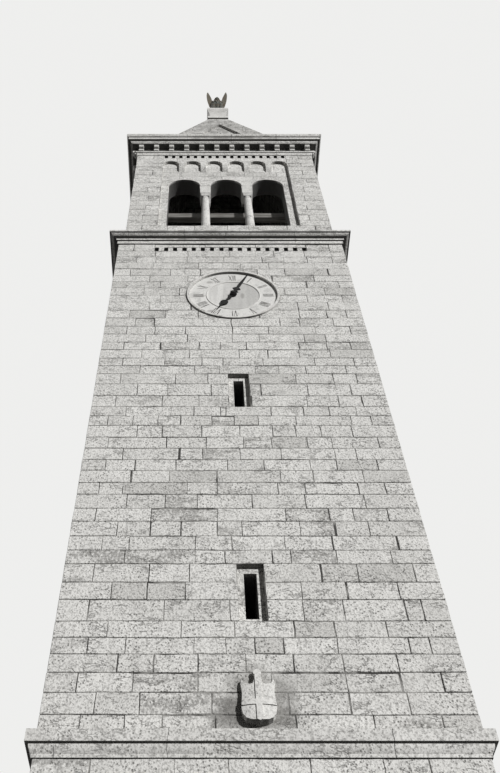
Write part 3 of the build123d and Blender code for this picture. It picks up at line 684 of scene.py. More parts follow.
@dataclass(frozen=True)
class BlackIron:
    """Matte black paint on iron, chalky where the weather reaches it."""

    paint: Colour = (0.006, 0.006, 0.006)
    chalk: Colour = (0.026, 0.026, 0.025)
    sheen: float = 0.2

    def material(self, name: str) -> bpy.types.Material:
        """Builds the paint.

        Args:
            name: Name of the material.

        Returns:
            The material.
        """
        shade = Shade(name)
        worn, fine = shade.noise(14.0, 5.0), shade.noise(120.0, 3.0)
        colour = shade.mix(worn.above(0.58, 0.10) * 0.7, self.paint, self.chalk)
        others = {"Specular IOR Level": self.sheen}
        return shade.close(colour, worn * 0.25 + 0.62, shade.bump(fine, 0.0008), others)


@dataclass(frozen=True)
class OldOak:
    """Weathered oak, greyed, with long grain along one axis."""

    light: Colour = (0.260, 0.220, 0.175)
    dark: Colour = (0.090, 0.070, 0.052)
    roughness: float = 0.8
    grain: Triple = (28.0, 28.0, 1.6)

    def material(self, name: str) -> bpy.types.Material:
        """Builds the oak.

        Args:
            name: Name of the material.

        Returns:
            The material.
        """
        shade = Shade(name)
        fibre = shade.noise(1.0, 6.0, shade.scaled(*self.grain))
        colour = shade.mix(fibre.above(0.5, 0.18), self.dark, self.light)
        colour = shade.mix(shade.noise(2.0, 3.0).above(0.55, 0.2) * 0.5, colour, self.dark)
        return shade.close(colour, self.roughness, shade.bump(fibre, 0.003))


@dataclass(frozen=True)
class Bronze:
    """Dark bronze with a green-grey patina in the hollows."""

    metal: Colour = (0.050, 0.043, 0.032)
    patina: Colour = (0.035, 0.044, 0.038)
    worn: Colour = (0.150, 0.128, 0.095)

    def material(self, name: str) -> bpy.types.Material:
        """Builds the bronze.

        Args:
            name: Name of the material.

        Returns:
            The material.
        """
        shade = Shade(name)
        cloud, fine = shade.noise(5.0, 5.0), shade.noise(70.0, 4.0)
        green = cloud.above(0.52, 0.12)
        edges = shade.node("ShaderNodeNewGeometry", output="Pointiness").above(0.53, 0.03)
        colour = shade.mix(green, self.metal, self.patina)
        colour = shade.mix(edges * 0.6, colour, self.worn)
        normal = shade.bump(fine * 0.6 + cloud * 0.4, 0.002)
        return shade.close(colour, fine * 0.25 + 0.50, normal, {"Metallic": 0.60 - green * 0.4})


def add_object(name: str, data: bpy.types.ID) -> bpy.types.Object:
    """Adds an object to the scene.

    Args:
        name: Its name.
        data: Its mesh, lamp or camera.

    Returns:
        The object.
    """
    made = bpy.data.objects.new(name, data)
    bpy.context.scene.collection.objects.link(made)
    return made


def evaluated(holder: bpy.types.Object) -> bpy.types.Mesh:
    """Plain mesh of an object with its modifiers applied."""
    graph = bpy.context.evaluated_depsgraph_get()
    return bpy.data.meshes.new_from_object(holder.evaluated_get(graph), depsgraph=graph)


def mesh_from(shape: bmesh.types.BMesh, name: str) -> bpy.types.Mesh:
    """Turns a bmesh into a mesh with its faces outwards, and frees it.

    Args:
        shape: The bmesh.
        name: Name of the mesh.

    Returns:
        The mesh.
    """
    bmesh.ops.remove_doubles(shape, verts=shape.verts, dist=1e-6)
    bmesh.ops.recalc_face_normals(shape, faces=shape.faces)
    mesh = bpy.data.meshes.new(name)
    shape.to_mesh(mesh)
    shape.free()
    return mesh


def new_piece(
    name: str, made: bpy.types.Mesh | bmesh.types.BMesh, material: bpy.types.Material
) -> bpy.types.Object:
    """Adds one finished piece, which rides on the tower.

    Args:
        name: Name of the piece.
        made: Its shape, in place.
        material: Its finish.

    Returns:
        The piece.
    """
    mesh = mesh_from(made, name) if isinstance(made, bmesh.types.BMesh) else made
    piece = add_object(name, mesh)
    mesh.name = name
    if not mesh.materials:
        mesh.materials.append(material)
    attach(piece, TOWER)
    LOG.info("%s: %d faces", name, len(mesh.polygons))
    return piece


def prism(
    shape: bmesh.types.BMesh, outline: list[Vector], along: Vector
) -> list[bmesh.types.BMEdge]:
    """Adds a closed prism.

    Args:
        shape: The mesh that it joins.
        outline: Corners of its near end, in order.
        along: The way from the near end to the far end.

    Returns:
        Its edges.
    """
    near = [shape.verts.new(point) for point in outline]
    far = [shape.verts.new(point + along) for point in outline]
    faces = [shape.faces.new(near), shape.faces.new(list(reversed(far)))]
    for i in range(len(near)):
        j = (i + 1) % len(near)
        faces.append(shape.faces.new([near[i], far[i], far[j], near[j]]))
    return list({edge for face in faces for edge in face.edges})


def block(shape: bmesh.types.BMesh, low: Triple, high: Triple, bevel: float) -> None:
    """Adds a rectangular block.

    Args:
        shape: The mesh that it joins.
        low: Its lowest corner.
        high: Its highest corner.
        bevel: How far its edges are rounded off.
    """
    corners = ((low[0], low[1]), (high[0], low[1]), (high[0], high[1]), (low[0], high[1]))
    outline = [Vector((x, y, low[2])) for x, y in corners]
    edges = prism(shape, outline, Vector((0, 0, high[2] - low[2])))
    bmesh.ops.bevel(shape, geom=edges, offset=bevel, segments=2, affect="EDGES")


def stitch(
    shape: bmesh.types.BMesh, loops: list[list[bmesh.types.BMVert]], closed: bool = False
) -> None:
    """Adds the faces between neighbouring loops of points.

    Args:
        shape: The mesh that they join.
        loops: The loops, each with the same number of points.
        closed: Whether the last loop meets the first; if not, both ends get a face.
    """
    pairs = list(zip(loops[:-1], loops[1:]))
    if closed:
        pairs.append((loops[-1], loops[0]))
    for one, two in pairs:
        for i in range(len(one)):
            j = (i + 1) % len(one)
            shape.faces.new([one[i], one[j], two[j], two[i]])
    if not closed:
        shape.faces.new(list(reversed(loops[0])))
        shape.faces.new(loops[-1])


def circle(count: int) -> list[Pair]:
    """Cosines and sines of evenly spread angles."""
    return [(math.cos(math.tau * i / count), math.sin(math.tau * i / count)) for i in range(count)]


def turned(
    shape: bmesh.types.BMesh, profile: list[Pair], sides: int, place: Matrix = Matrix()
) -> None:
    """Adds a closed turned solid.

    Args:
        shape: The mesh that it joins.
        profile: Radius and height of each ring, from the foot up.
        sides: Number of facets round it.
        place: Where its axis stands, which is +Z before.
    """
    rings = []
    for radius, height in profile:
        points = [place @ Vector((radius * x, radius * y, height)) for x, y in circle(sides)]
        rings.append([shape.verts.new(point) for point in points])
    stitch(shape, rings)


def hoop(shape: bmesh.types.BMesh, section: list[Pair], sides: int, centre: Vector) -> None:
    """Adds a hoop whose axis runs along y.

    Args:
        shape: The mesh that it joins.
        section: Radius and y of each corner of its section.
        sides: Number of facets round it.
        centre: Its centre.
    """
    loops = []
    for x, z in circle(sides):
        loops.append([shape.verts.new(centre + Vector((r * x, y, r * z))) for r, y in section])
    stitch(shape, loops, closed=True)


class GeometryTree:
    """A Geometry Nodes tree with named inputs, ending in one material."""

    def __init__(self, name: str, sockets: dict[str, str]) -> None:
        """Makes the tree and its inputs.

        Args:
            name: Its name.
            sockets: Socket type of each named input, of which the first is the
                source's mesh.
        """
        self.tree = bpy.data.node_groups.new(name, "GeometryNodeTree")
        face = self.tree.interface
        for label, kind in {**sockets, "Material": "NodeSocketMaterial"}.items():
            face.new_socket(label, in_out="INPUT", socket_type=kind)
        face.new_socket("Made", in_out="OUTPUT", socket_type="NodeSocketGeometry")
        self.given = self.add("NodeGroupInput").outputs

    def add(self, kind: str, settings: Settings = None, inputs: Inputs = None) -> bpy.types.Node:
        """Adds one node to the tree, as add_node does."""
        return add_node(self.tree, kind, settings, inputs)

    def named(self, name: str, kind: str = "FLOAT_VECTOR") -> bpy.types.NodeSocket:
        """A named attribute of the mesh."""
        node = self.add("GeometryNodeInputNamedAttribute", {"data_type": kind}, {0: name})
        return node.outputs["Attribute"]

    def vector(self, operation: str, first: object, second: object) -> bpy.types.NodeSocket:
        """Adds one Vector Math node.

        Args:
            operation: Name of its operation.
            first: Value or link of its first vector.
            second: Value or link of its second vector, or of its scale.

        Returns:
            The result.
        """
        key = "Scale" if operation == "SCALE" else 1
        settings = {"operation": operation}
        return self.add("ShaderNodeVectorMath", settings, {0: first, key: second}).outputs[0]

    def close(self, geometry: bpy.types.NodeSocket) -> None:
        """Ends the tree in real geometry with the material set.

        Args:
            geometry: What the tree has made.
        """
        real = self.add("GeometryNodeRealizeInstances", inputs={0: geometry})
        inputs = {"Geometry": real.outputs[0], "Material": self.given["Material"]}
        dressed = self.add("GeometryNodeSetMaterial", inputs=inputs)
        out = self.add("NodeGroupOutput")
        self.tree.links.new(dressed.outputs[0], out.inputs[0])

    def run(
        self, source: bpy.types.Mesh, values: dict[str, object],
        cutter: bpy.types.Mesh | None = None,
    ) -> bpy.types.Mesh:
        """Evaluates the tree on a mesh.

        Args:
            source: The mesh that the tree starts from.
            values: Values of the tree's named inputs.
            cutter: A closed mesh that is cut away from the result.

        Returns:
            The result as a plain mesh.
        """
        holder = add_object(source.name, source)
        modifier = holder.modifiers.new(self.tree.name, "NODES")
        modifier.node_group = self.tree
        for item in self.tree.interface.items_tree:
            if item.in_out == "INPUT" and item.name in values:
                modifier[item.identifier] = values[item.name]
        helpers = [holder]
        if cutter is not None:
            helpers.append(add_object(cutter.name, cutter))
            cut = holder.modifiers.new("cut", "BOOLEAN")
            cut.operation = "DIFFERENCE"
            cut.solver = "EXACT"
            cut.use_self = True
            cut.object = helpers[-1]
        mesh = evaluated(holder)
        for helper in helpers:
            bpy.data.objects.remove(helper)
        return mesh


def marked_mesh(
    name: str, points: list[Vector], marks: dict[str, list[Vector] | list[float]],
    faces: list[list[int]] | None = None,
) -> bpy.types.Mesh:
    """Makes a mesh whose points carry vectors or numbers.

    Args:
        name: Name of the mesh.
        points: Its points.
        marks: For each attribute one value for each point.
        faces: Its faces as point indices, or None for points alone.

    Returns:
        The mesh.
    """
    mesh = bpy.data.meshes.new(name)
    mesh.from_pydata(points, [], faces or [])
    for mark, values in marks.items():
        vectors = isinstance(values[0], Vector)
        layer = mesh.attributes.new(mark, "FLOAT_VECTOR" if vectors else "FLOAT", "POINT")
        flat = [c for v in values for c in v] if vectors else values
        layer.data.foreach_set("vector" if vectors else "value", flat)
    return mesh


def unmark(mesh: bpy.types.Mesh, names: tuple[str, ...]) -> None:
    """Takes attributes that have done their work off a mesh."""
    for name in names:
        if name in mesh.attributes:
            mesh.attributes.remove(mesh.attributes[name])


class SettingOut:
    """Geometry Nodes that set copies of one die round the tower."""

    def __init__(self) -> None:
        """Builds the tree."""
        nodes = GeometryTree("set_out", {"Places": "NodeSocketGeometry", "Die": "NodeSocketObject"})
        die = nodes.add("GeometryNodeObjectInfo", inputs={"Object": nodes.given["Die"]})
        spin = nodes.add("ShaderNodeCombineXYZ", inputs={"Z": nodes.named("turn", "FLOAT")})
        inputs = {
            "Points": nodes.given["Places"], "Instance": die.outputs["Geometry"],
            "Rotation": spin.outputs[0],
        }
        nodes.close(nodes.add("GeometryNodeInstanceOnPoints", inputs=inputs).outputs[0])
        self.nodes = nodes

    def set_out(
        self, name: str, die: bmesh.types.BMesh, places: list[tuple[Vector, Side]],
        material: bpy.types.Material, slot: str = "limestone",
    ) -> bpy.types.Object:
        """Makes one piece of many copies.

        Args:
            name: Name of the piece.
            die: The copied shape, in the frame of the front.
            places: Where each copy stands in the frame of its side, and the side.
            material: The finish.
            slot: Not used.

        Returns:
            The piece, riding on the tower.
        """
        at = [side.matrix @ place for place, side in places]
        points = marked_mesh(name + "_places", at, {"turn": [side.turn for _, side in places]})
        holder = bpy.data.objects.new(name + "_die", mesh_from(die, name + "_die"))
        mesh = self.nodes.run(points, {"Die": holder, "Material": material})
        bpy.data.objects.remove(holder)
        unmark(mesh, ("turn",))
        return new_piece(name, mesh, material)


@dataclass(frozen=True)
class Block:
    """One stone: its centre and size in the frame of its side, and its tone."""

    centre: Triple
    size: Triple
    tone: float
    turn: float


@dataclass
class Bond:
    """Rules by which courses of uneven stones are laid.

    A stretch left over that is shorter than the shortest stone joins the stone
    before it, and a share of the long ones is halved. A share of odd stones is
    much darker than the others. Cut stones under the size of a sliver are left out.
    """

    draw: random.Random
    course: Pair = (0.265, 0.345)
    length: Pair = (0.36, 1.08)
    shortest: float = 0.14
    halved: float = 0.6
    sliver: float = 0.03
    odd: float = 0.06
    odd_tones: Pair = (-0.35, 0.15)
    tones: Pair = (0.35, 1.0)

    def courses(self, marks: list[float]) -> list[Pair]:
        """Divides a height into courses of uneven height.

        Args:
            marks: Levels that a bed joint falls on, from the foot to the top.

        Returns:
            The lower and upper level of each course.
        """
        mean = sum(self.course) / 2
        levels = [marks[0]]
        for bottom, top in zip(marks[:-1], marks[1:]):
            count = max(1, round((top - bottom) / mean))
            parts = [self.draw.uniform(*self.course) for _ in range(count)]
            scale = (top - bottom) / sum(parts)
            for part in parts:
                levels.append(levels[-1] + part * scale)
        return list(zip(levels[:-1], levels[1:]))

    def stretch(self, left: float, right: float) -> list[Pair]:
        """Divides a stretch of a course into stones of uneven length.

        Args:
            left: Where the stretch begins.
            right: Where it ends.

        Returns:
            The ends of each stone.
        """
        ends = [left]
        while right - ends[-1] > self.length[1]:
            ends.append(ends[-1] + self.draw.uniform(*self.length))
        if right - ends[-1] < self.shortest and len(ends) > 1:
            ends.pop()
        if right - ends[-1] > self.length[1] * 0.8 and self.draw.random() < self.halved:
            ends.append((ends[-1] + right) / 2 + self.draw.uniform(-0.1, 0.1))
        ends.append(right)
        return list(zip(ends[:-1], ends[1:]))

    def tone(self) -> float:
        """Draws the tone of one stone.

        Returns:
            The tone, which is much darker for a few stones.
        """
        odd = self.draw.random() < self.odd
        return self.draw.uniform(*(self.odd_tones if odd else self.tones))

    def without(self, stone: Rect, hole: Rect) -> list[Rect]:
        """Cuts a rectangular hole out of a stone.

        Args:
            stone: Left, right, bottom and top of the stone.
            hole: Left, right, bottom and top of the hole.

        Returns:
            What is left of the stone.
        """
        left, right, bottom, top = stone
        h_left, h_right, h_bottom, h_top = hole
        if right <= h_left or left >= h_right or top <= h_bottom or bottom >= h_top:
            return [stone]
        low, high = max(bottom, h_bottom), min(top, h_top)
        parts = [
            (left, h_left, low, high),
            (h_right, right, low, high),
            (left, right, bottom, h_bottom),
            (left, right, h_top, top),
        ]
        return [p for p in parts if min(p[1] - p[0], p[3] - p[2]) > self.sliver]


@dataclass
class StoneDressing:
    """Geometry Nodes that turn block centres into chamfered, uneven stones."""

    chamfer: float = 0.006
    uneven: float = 0.030
    grain: float = 8.0

    def __post_init__(self) -> None:
        """Builds the tree and the two dies."""
        self.slab = self.make_slab()
        self.cube = self.make_cube()
        self.nodes = self.make_tree()

    @staticmethod
    def die(
        name: str, corners: list[Vector], insets: list[Vector], faces: list[list[int]]
    ) -> bpy.types.Object:
        """Makes one die: a unit stone whose points know their corner and inset.

        Args:
            name: Name of the die.
            corners: Each point in the unit cube.
            insets: The way in which the chamfer moves each point.
            faces: Faces as point indices.

        Returns:
            The die, hidden and off the object.
        """
        marks = {"corner": corners, "inset": insets}
        return bpy.data.objects.new(name, marked_mesh(name, corners, marks, faces))

    def make_slab(self) -> bpy.types.Object:
        """Makes the facing stone: a front of eight panes, a chamfer, sides and a back.

        Returns:
            The die.
        """
        steps = (-0.5, -0.25, 0.0, 0.25, 0.5)
        ring = [(x, -0.5) for x in steps] + [(0.5, 0.0)]
        ring += [(x, 0.5) for x in reversed(steps)] + [(-0.5, 0.0)]
        corners, insets = [], []
        for layer in ("back", "edge", "face"):
            for x, z in ring:
                corners.append(Vector((x, 0.5 if layer == "back" else -0.5, z)))
                across = Vector([-2 * c if abs(c) == 0.5 else 0 for c in (x, 0, z)])
                insets.append({"back": Vector(), "edge": Vector((0, 1, 0)), "face": across}[layer])
        count = len(ring)
        middle = list(range(3 * count, 3 * count + 3))
        for x in steps[1:-1]:
            corners.append(Vector((x, -0.5, 0.0)))
            insets.append(Vector())
        faces = [list(reversed(range(count)))]
        for near, far in ((0, count), (count, 2 * count)):
            for i in range(count):
                j = (i + 1) % count
                faces.append([near + i, near + j, far + j, far + i])
        first = 2 * count
        row = [first + count - 1, *middle, first + 5]
        low = [first + i for i in range(5)]
        high = [first + 10 - i for i in range(5)]
        for i in range(4):
            faces.append([low[i], low[i + 1], row[i + 1], row[i]])
            faces.append([row[i], row[i + 1], high[i + 1], high[i]])
        return self.die("slab_die", corners, insets, faces)

    def make_cube(self) -> bpy.types.Object:
        """Makes the corner stone: a cube with all its edges chamfered.

        Returns:
            The die.
        """
        shape = bmesh.new()
        bmesh.ops.create_cube(shape, size=1.0)
        bmesh.ops.bevel(shape, geom=shape.edges, offset=0.1, segments=1, affect="EDGES")
        shape.verts.ensure_lookup_table()
        corners, insets = [], []
        for vert in shape.verts:
            signs = Vector([math.copysign(1.0, c) for c in vert.co])
            corners.append(signs * 0.5)
            insets.append(Vector([-s if abs(c) < 0.45 else 0 for s, c in zip(signs, vert.co)]))
        faces = [[v.index for v in face.verts] for face in shape.faces]
        shape.free()
        return self.die("cube_die", corners, insets, faces)

    @staticmethod
    def make_tree() -> GeometryTree:
        """Builds the Geometry Nodes tree.

        Returns:
            The tree.
        """
        sockets = {"Centres": "NodeSocketGeometry", "Die": "NodeSocketObject"}
        sockets.update({name: "NodeSocketFloat" for name in ("Chamfer", "Uneven", "Grain")})
        nodes = GeometryTree("dress_stones", sockets)
        given = nodes.given
        die = nodes.add("GeometryNodeObjectInfo", inputs={"Object": given["Die"]})
        inputs = {"Points": given["Centres"], "Instance": die.outputs["Geometry"]}
        placed = nodes.add("GeometryNodeInstanceOnPoints", inputs=inputs)
        real = nodes.add("GeometryNodeRealizeInstances", inputs={0: placed.outputs[0]})
        local = nodes.vector("MULTIPLY", nodes.named("corner"), nodes.named("size"))
        inset = nodes.vector("SCALE", nodes.named("inset"), given["Chamfer"])
        chamfered = nodes.vector("ADD", local, inset)
        inputs = {"Vector": chamfered, "Angle": nodes.named("turn", "FLOAT")}
        turn = nodes.add("ShaderNodeVectorRotate", {"rotation_type": "Z_AXIS"}, inputs)
        position = nodes.vector("ADD", nodes.named("centre"), turn.outputs[0])
        inputs = {"Geometry": real.outputs[0], "Position": position}
        shaped = nodes.add("GeometryNodeSetPosition", inputs=inputs)
        noise = nodes.add("ShaderNodeTexNoise", inputs={"Scale": given["Grain"], "Detail": 3.0})
        centred = nodes.vector("SUBTRACT", noise.outputs["Color"], (0.5, 0.5, 0.5))
        offset = nodes.vector("SCALE", centred, given["Uneven"])
        inputs = {"Geometry": shaped.outputs[0], "Offset": offset}
        nodes.close(nodes.add("GeometryNodeSetPosition", inputs=inputs).outputs[0])
        return nodes

    def dress(
        self, name: str, blocks: list[Block], die: bpy.types.Object,
        material: bpy.types.Material, cutter: bpy.types.Mesh | None = None,
    ) -> bpy.types.Object:
        """Makes one piece of masonry from its blocks.

        Args:
            name: Name of the piece.
            blocks: The stones.
            die: The die that each stone is cut from.
            material: The finish.
            cutter: A closed mesh that is cut away from the stones.

        Returns:
            The piece, riding on the tower.
        """
        places = [Matrix.Rotation(b.turn, 3, "Z") @ Vector(b.centre) for b in blocks]
        centres = marked_mesh(name + "_centres", places, {
            "centre": places, "size": [Vector(b.size) for b in blocks],
            "tone": [b.tone for b in blocks], "turn": [b.turn for b in blocks],
        })
        values = {
            "Die": die, "Chamfer": self.chamfer, "Uneven": self.uneven, "Grain": self.grain,
            "Material": material,
        }
        mesh = self.nodes.run(centres, values, cutter)
        unmark(mesh, ("corner", "inset", "centre", "size", "turn"))
        return new_piece(name, mesh, material)


def arch_stones(
    shape: bmesh.types.BMesh, radii: Pair, depth: float, count: int, joint: float,
    place: Vector = Vector(),
) -> None:
    """Adds the wedge stones of a half round arch that faces -Y.

    Args:
        shape: The mesh that they join.
        radii: Inner and outer radius.
        depth: How far each stone goes back from the face.
        count: Number of stones.
        joint: Width of the joints.
        place: The arch's centre on its face.
    """
    steps = 4
    for i in range(count):
        outline = []
        for radius, sweep in ((radii[1], 1), (radii[0], -1)):
            trim = joint / 2 / radius
            first, last = math.pi * i / count + trim, math.pi * (i + 1) / count - trim
            for k in range(steps + 1)[::sweep]:
                angle = first + (last - first) * k / steps
                outline.append(place + radius * Vector((math.cos(angle), 0, math.sin(angle))))
        edges = prism(shape, outline, Vector((0, depth, 0)))
        face_edges = [e for e in edges if all(abs(v.co.y - place.y) < 1e-6 for v in e.verts)]
        bmesh.ops.bevel(shape, geom=face_edges, offset=ARRIS, segments=1, affect="EDGES")


@dataclass(frozen=True)
class Storey:
    """One storey of facing stones.

    Attributes:
        name: Its name.
        plane: Distance of its face from the tower's axis.
        marks: Levels that bed joints fall on, from its foot to its top.
        quoin: Lengths of the long arms of its corner stones.
        holes: Gives the clear rectangles of a side.
        extra: Gives more stones of a side.
        cutters: Closed shapes cut away from some sides.
    """

    name: str
    plane: float
    marks: list[float]
    quoin: Pair
    holes: Callable[[Side], list[Rect]]
    extra: Callable[[Side], list[Rect]]
    cutters: dict[Side, bpy.types.Mesh]


@dataclass
class Masonry:
    """The facing stones of the base storey, the shaft and the belfry.

    A pair is a least and a greatest length, or the left and right end of a lintel
    or sill, or the width and height of a recess. The cut is the depth of the
    shapes that cut the stones, and how much of it is in the wall.
    """

    plan: Plan
    stone: Limestone
    dressing: StoneDressing
    joint: float = 0.012
    gaping: float = 0.16
    gape: Pair = (0.006, 0.018)
    proud: float = 0.012
    bedded: float = 0.020
    quoin_long: Pair = (0.60, 0.95)
    quoin_short: Pair = (0.32, 0.50)
    seed: int = 11
    slit_recess: Pair = (0.39, 1.03)
    lintel_span: Pair = (-0.36, 0.34)
    sill_span: Pair = (-0.27, 0.55)
    lintel_height: float = 0.27
    foot: float = 0.008
    door_half: float = 0.65
    door_spring: float = 1.75
    door_frame: float = 0.34
    voussoirs: int = 11
    dentils: int = 17
    dentil_pitch: float = 0.222
    dentil_gap: float = 0.100
    dentil_height: float = 0.180
    dentil_fillet: float = 0.150
    dial_joint: float = 0.008
    cut: Pair = (0.2, 0.1)

    def stone_at(self, rect: Rect, plane: float, side: Side, bond: Bond) -> Block:
        """One facing stone.

        Args:
            rect: Left, right, bottom and top, joints included.
            plane: Distance of the wall's face from the axis.
            side: The side that it faces.
            bond: Where its tone comes from.

        Returns:
            The block.
        """
        least, most = self.joint * 0.1, self.joint * 0.9
        trims = [bond.draw.uniform(least, most) for _ in range(4)]
        if bond.draw.random() < self.gaping:
            trims[bond.draw.choice((0, 1, 1, 3))] += bond.draw.uniform(*self.gape)
        left, right, bottom, top = (e + t * s for e, t, s in zip(rect, trims, (1, -1, 1, -1)))
        proud = self.proud * bond.draw.uniform(0.5, 1.0)
        depth = proud + self.bedded
        centre = ((left + right) / 2, -(plane + proud - depth / 2), (bottom + top) / 2)
        return Block(centre, (right - left, depth, top - bottom), bond.tone(), side.turn)

    def field_stones(
        self, spans: list[tuple[float, float, Pair]], plane: float, side: Side,
        holes: list[Rect], bond: Bond,
    ) -> list[Block]:
        """Lays stones between the corners of a side.

        Args:
            spans: Left end, right end and levels of each course.
            plane: Distance of the wall's face from the axis.
            side: The side.
            holes: Rectangles that stay clear.
            bond: The rules of laying.

        Returns:
            The blocks.
        """
        laid = []
        for left, right, (bottom, top) in spans:
            rects = [(a, b, bottom, top) for a, b in bond.stretch(left, right)]
            for hole in holes:
                rects = [part for rect in rects for part in bond.without(rect, hole)]
            laid += [self.stone_at(rect, plane, side, bond) for rect in rects]
        return laid

    def corner_stones(
        self, storey: Storey, levels: list[Pair], bond: Bond
    ) -> tuple[list[Block], dict[Side, list[Pair]]]:
        """Lays the corner stones, long and short by turns.

        Args:
            storey: The storey.
            levels: Lower and upper level of each course.
            bond: Where sizes and tones come from.

        Returns:
            The blocks, and for each side the ends left free in each course.
        """
        blocks, plane = [], storey.plane
        ends: dict[Side, list[list[float]]] = {s: [[-plane, plane] for _ in levels] for s in Side}
        order = list(Side)
        for place, side in enumerate(order):
            following = order[(place + 1) % len(order)]
            for row, (bottom, top) in enumerate(levels):
                long = bond.draw.uniform(*storey.quoin)
                short = bond.draw.uniform(*self.quoin_short)
                along, across = (long, short) if (row + place) % 2 else (short, long)
                ends[side][row][1] = plane - along
                ends[following][row][0] = -plane + across
                wide, deep = (arm + self.proud - self.joint / 2 for arm in (along, across))
                size = (wide, deep, top - bottom - self.joint)
                face = plane + self.proud
                centre = (face - wide / 2, -(face - deep / 2), (bottom + top) / 2)
                blocks.append(Block(centre, size, bond.tone(), side.turn))
        return blocks, {s: [(low, high) for low, high in rows] for s, rows in ends.items()}

    def dentil_band(self) -> tuple[Rect, list[Rect]]:
        """Places the stones of the row of dentils under the belfry cornice.

        Returns:
            The whole band, and the stones between and over the pockets.
        """
        top = self.plan.shaft_top
        high = top - self.dentil_fillet
        low = high - self.dentil_height
        reach = (self.dentils - 1) / 2 * self.dentil_pitch + self.dentil_gap / 2
        stones = []
        for i in range(self.dentils - 1):
            left = -reach + i * self.dentil_pitch + self.dentil_gap
            right = left + self.dentil_pitch - self.dentil_gap
            stones.append((left - self.joint / 2, right + self.joint / 2, low, high))
        third = 2 * reach / 3
        stones += [(-reach + i * third, -reach + (i + 1) * third, high, top) for i in range(3)]
        return (-reach, reach, low, top), stones

    def slits(self) -> tuple[list[Rect], list[Rect], list[float]]:
        """Places the lintel and the sill of each slit window.

        Returns:
            The clear rectangles, the stones over and under the windows, and the
            levels of their beds.
        """
        holes, stones, beds = [], [], []
        half = self.slit_recess[0] / 2
        for centre in self.plan.slits:
            low, high = centre - self.slit_recess[1] / 2, centre + self.slit_recess[1] / 2
            holes.append((-half, half, low, high))
            for lintel, bottom, top in (
                (self.lintel_span, high, high + self.lintel_height),
                (self.sill_span, low - self.lintel_height, low),
            ):
                holes.append((*lintel, bottom, top))
                stones.append((*lintel, bottom, top))
            beds += [low - self.lintel_height, low, high, high + self.lintel_height]
        return holes, stones, beds

    def door_jambs(self) -> tuple[Rect, list[Rect]]:
        """Places the jamb stones of the doorway.

        Returns:
            The clear rectangle, and the stones.
        """
        out = self.door_half + self.door_frame
        levels = [self.foot] + [self.door_spring * i / 5 for i in range(1, 6)]
        stones = []
        for low, high in zip(levels[:-1], levels[1:]):
            stones += [(-out, -self.door_half, low, high), (self.door_half, out, low, high)]
        return (-out, out, 0.0, self.door_spring), stones

    def arch_cutter(self) -> bpy.types.Mesh:
        """Cuts the facing stones clear of the doorway's arch.

        Returns:
            A half disc.
        """
        shape = bmesh.new()
        depth, inside = self.cut
        radius = self.door_half + self.door_frame
        place = Vector((0, -self.plan.shaft + inside, self.door_spring))
        angles = [math.pi * i / 32 for i in range(33)]
        outline = [place + radius * Vector((math.cos(a), 0, math.sin(a))) for a in angles]
        prism(shape, outline, Vector((0, -depth, 0)))
        return mesh_from(shape, "arch_cutter")

    def clock_cutter(self) -> bpy.types.Mesh:
        """Cuts the facing stones clear of the clock.

        Returns:
            A disc.
        """
        shape = bmesh.new()
        depth, inside = self.cut
        centre = (0, -self.plan.shaft + inside, self.plan.dial_centre)
        radius = self.plan.dial_radius + self.dial_joint
        turned(shape, [(radius, 0.0), (radius, depth)], 96, Matrix.Translation(centre) @ AHEAD)
        return mesh_from(shape, "clock_cutter")

    def doorway_arch(self) -> None:
        """Makes the wedge stones over the doorway."""
        shape = bmesh.new()
        face = Vector((0, -self.plan.shaft - self.proud, self.door_spring))
        radii = (self.door_half + self.joint / 2, self.door_half + self.door_frame - self.joint / 2)
        arch_stones(shape, radii, self.proud + self.bedded, self.voussoirs, self.joint, face)
        new_piece("door_voussoirs", shape, self.stone.dressed("limestone_voussoirs"))

    def build(self) -> None:
        """Makes the masonry of every storey."""
        plan = self.plan
        low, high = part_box("shield")
        across, tall = (low.x + high.x) / 2, high.z - low.z
        # Painted shadow under and round the shield; weaker painted shade under the facing stones.
        shadow_spots = (
            (across - 0.10, low.z + 0.10, 0.62, 0.30),
            (across, low.z + tall / 2, 0.52, tall * 0.62),
        )
        facing = replace(self.stone, crust=0.30).blocks("limestone_facing", shadow_spots)
        doorway, jambs = self.door_jambs()
        self.storey(Storey(
            "base", plan.shaft, [self.foot, self.door_spring, plan.base_top], self.quoin_long,
            lambda side: [doorway] if side is Side.FRONT else [],
            lambda side: jambs if side is Side.FRONT else [],
            {Side.FRONT: self.arch_cutter()},
        ), facing)
        band, dentils = self.dentil_band()
        windows, frames, beds = self.slits()
        self.storey(Storey(
            "shaft", plan.shaft, [plan.shaft_foot, *beds, band[2], plan.shaft_top],
            self.quoin_long, lambda side: [*windows, band], lambda side: [*dentils, *frames],
            {Side.FRONT: self.clock_cutter()},
        ), facing)
        opening = (-plan.panel, plan.panel, plan.parapet_top, plan.belfry_top)
        pier = plan.belfry - plan.panel
        self.storey(Storey(
            "belfry", plan.belfry, [plan.belfry_foot, plan.parapet_top, plan.belfry_top],
            (pier, pier), lambda side: [opening], lambda side: [], {},
        ), facing)
        self.doorway_arch()

    def storey(self, storey: Storey, material: bpy.types.Material) -> None:
        """Makes the masonry of one storey.

        Args:
            storey: The storey.
            material: The finish.
        """
        bond = Bond(random.Random(f"{storey.name}-{self.seed}"))
        levels = bond.courses(storey.marks)
        quoins, ends = self.corner_stones(storey, levels, bond)
        self.dressing.dress(f"{storey.name}_quoins", quoins, self.dressing.cube, material)
        for side in Side:
            spans = [(*end, level) for end, level in zip(ends[side], levels)]
            blocks = self.field_stones(spans, storey.plane, side, storey.holes(side), bond)
            blocks += [self.stone_at(r, storey.plane, side, bond) for r in storey.extra(side)]
            name = f"{storey.name}_facing_{side.label}"
            cutter = storey.cutters.get(side)
            self.dressing.dress(name, blocks, self.dressing.slab, material, cutter)


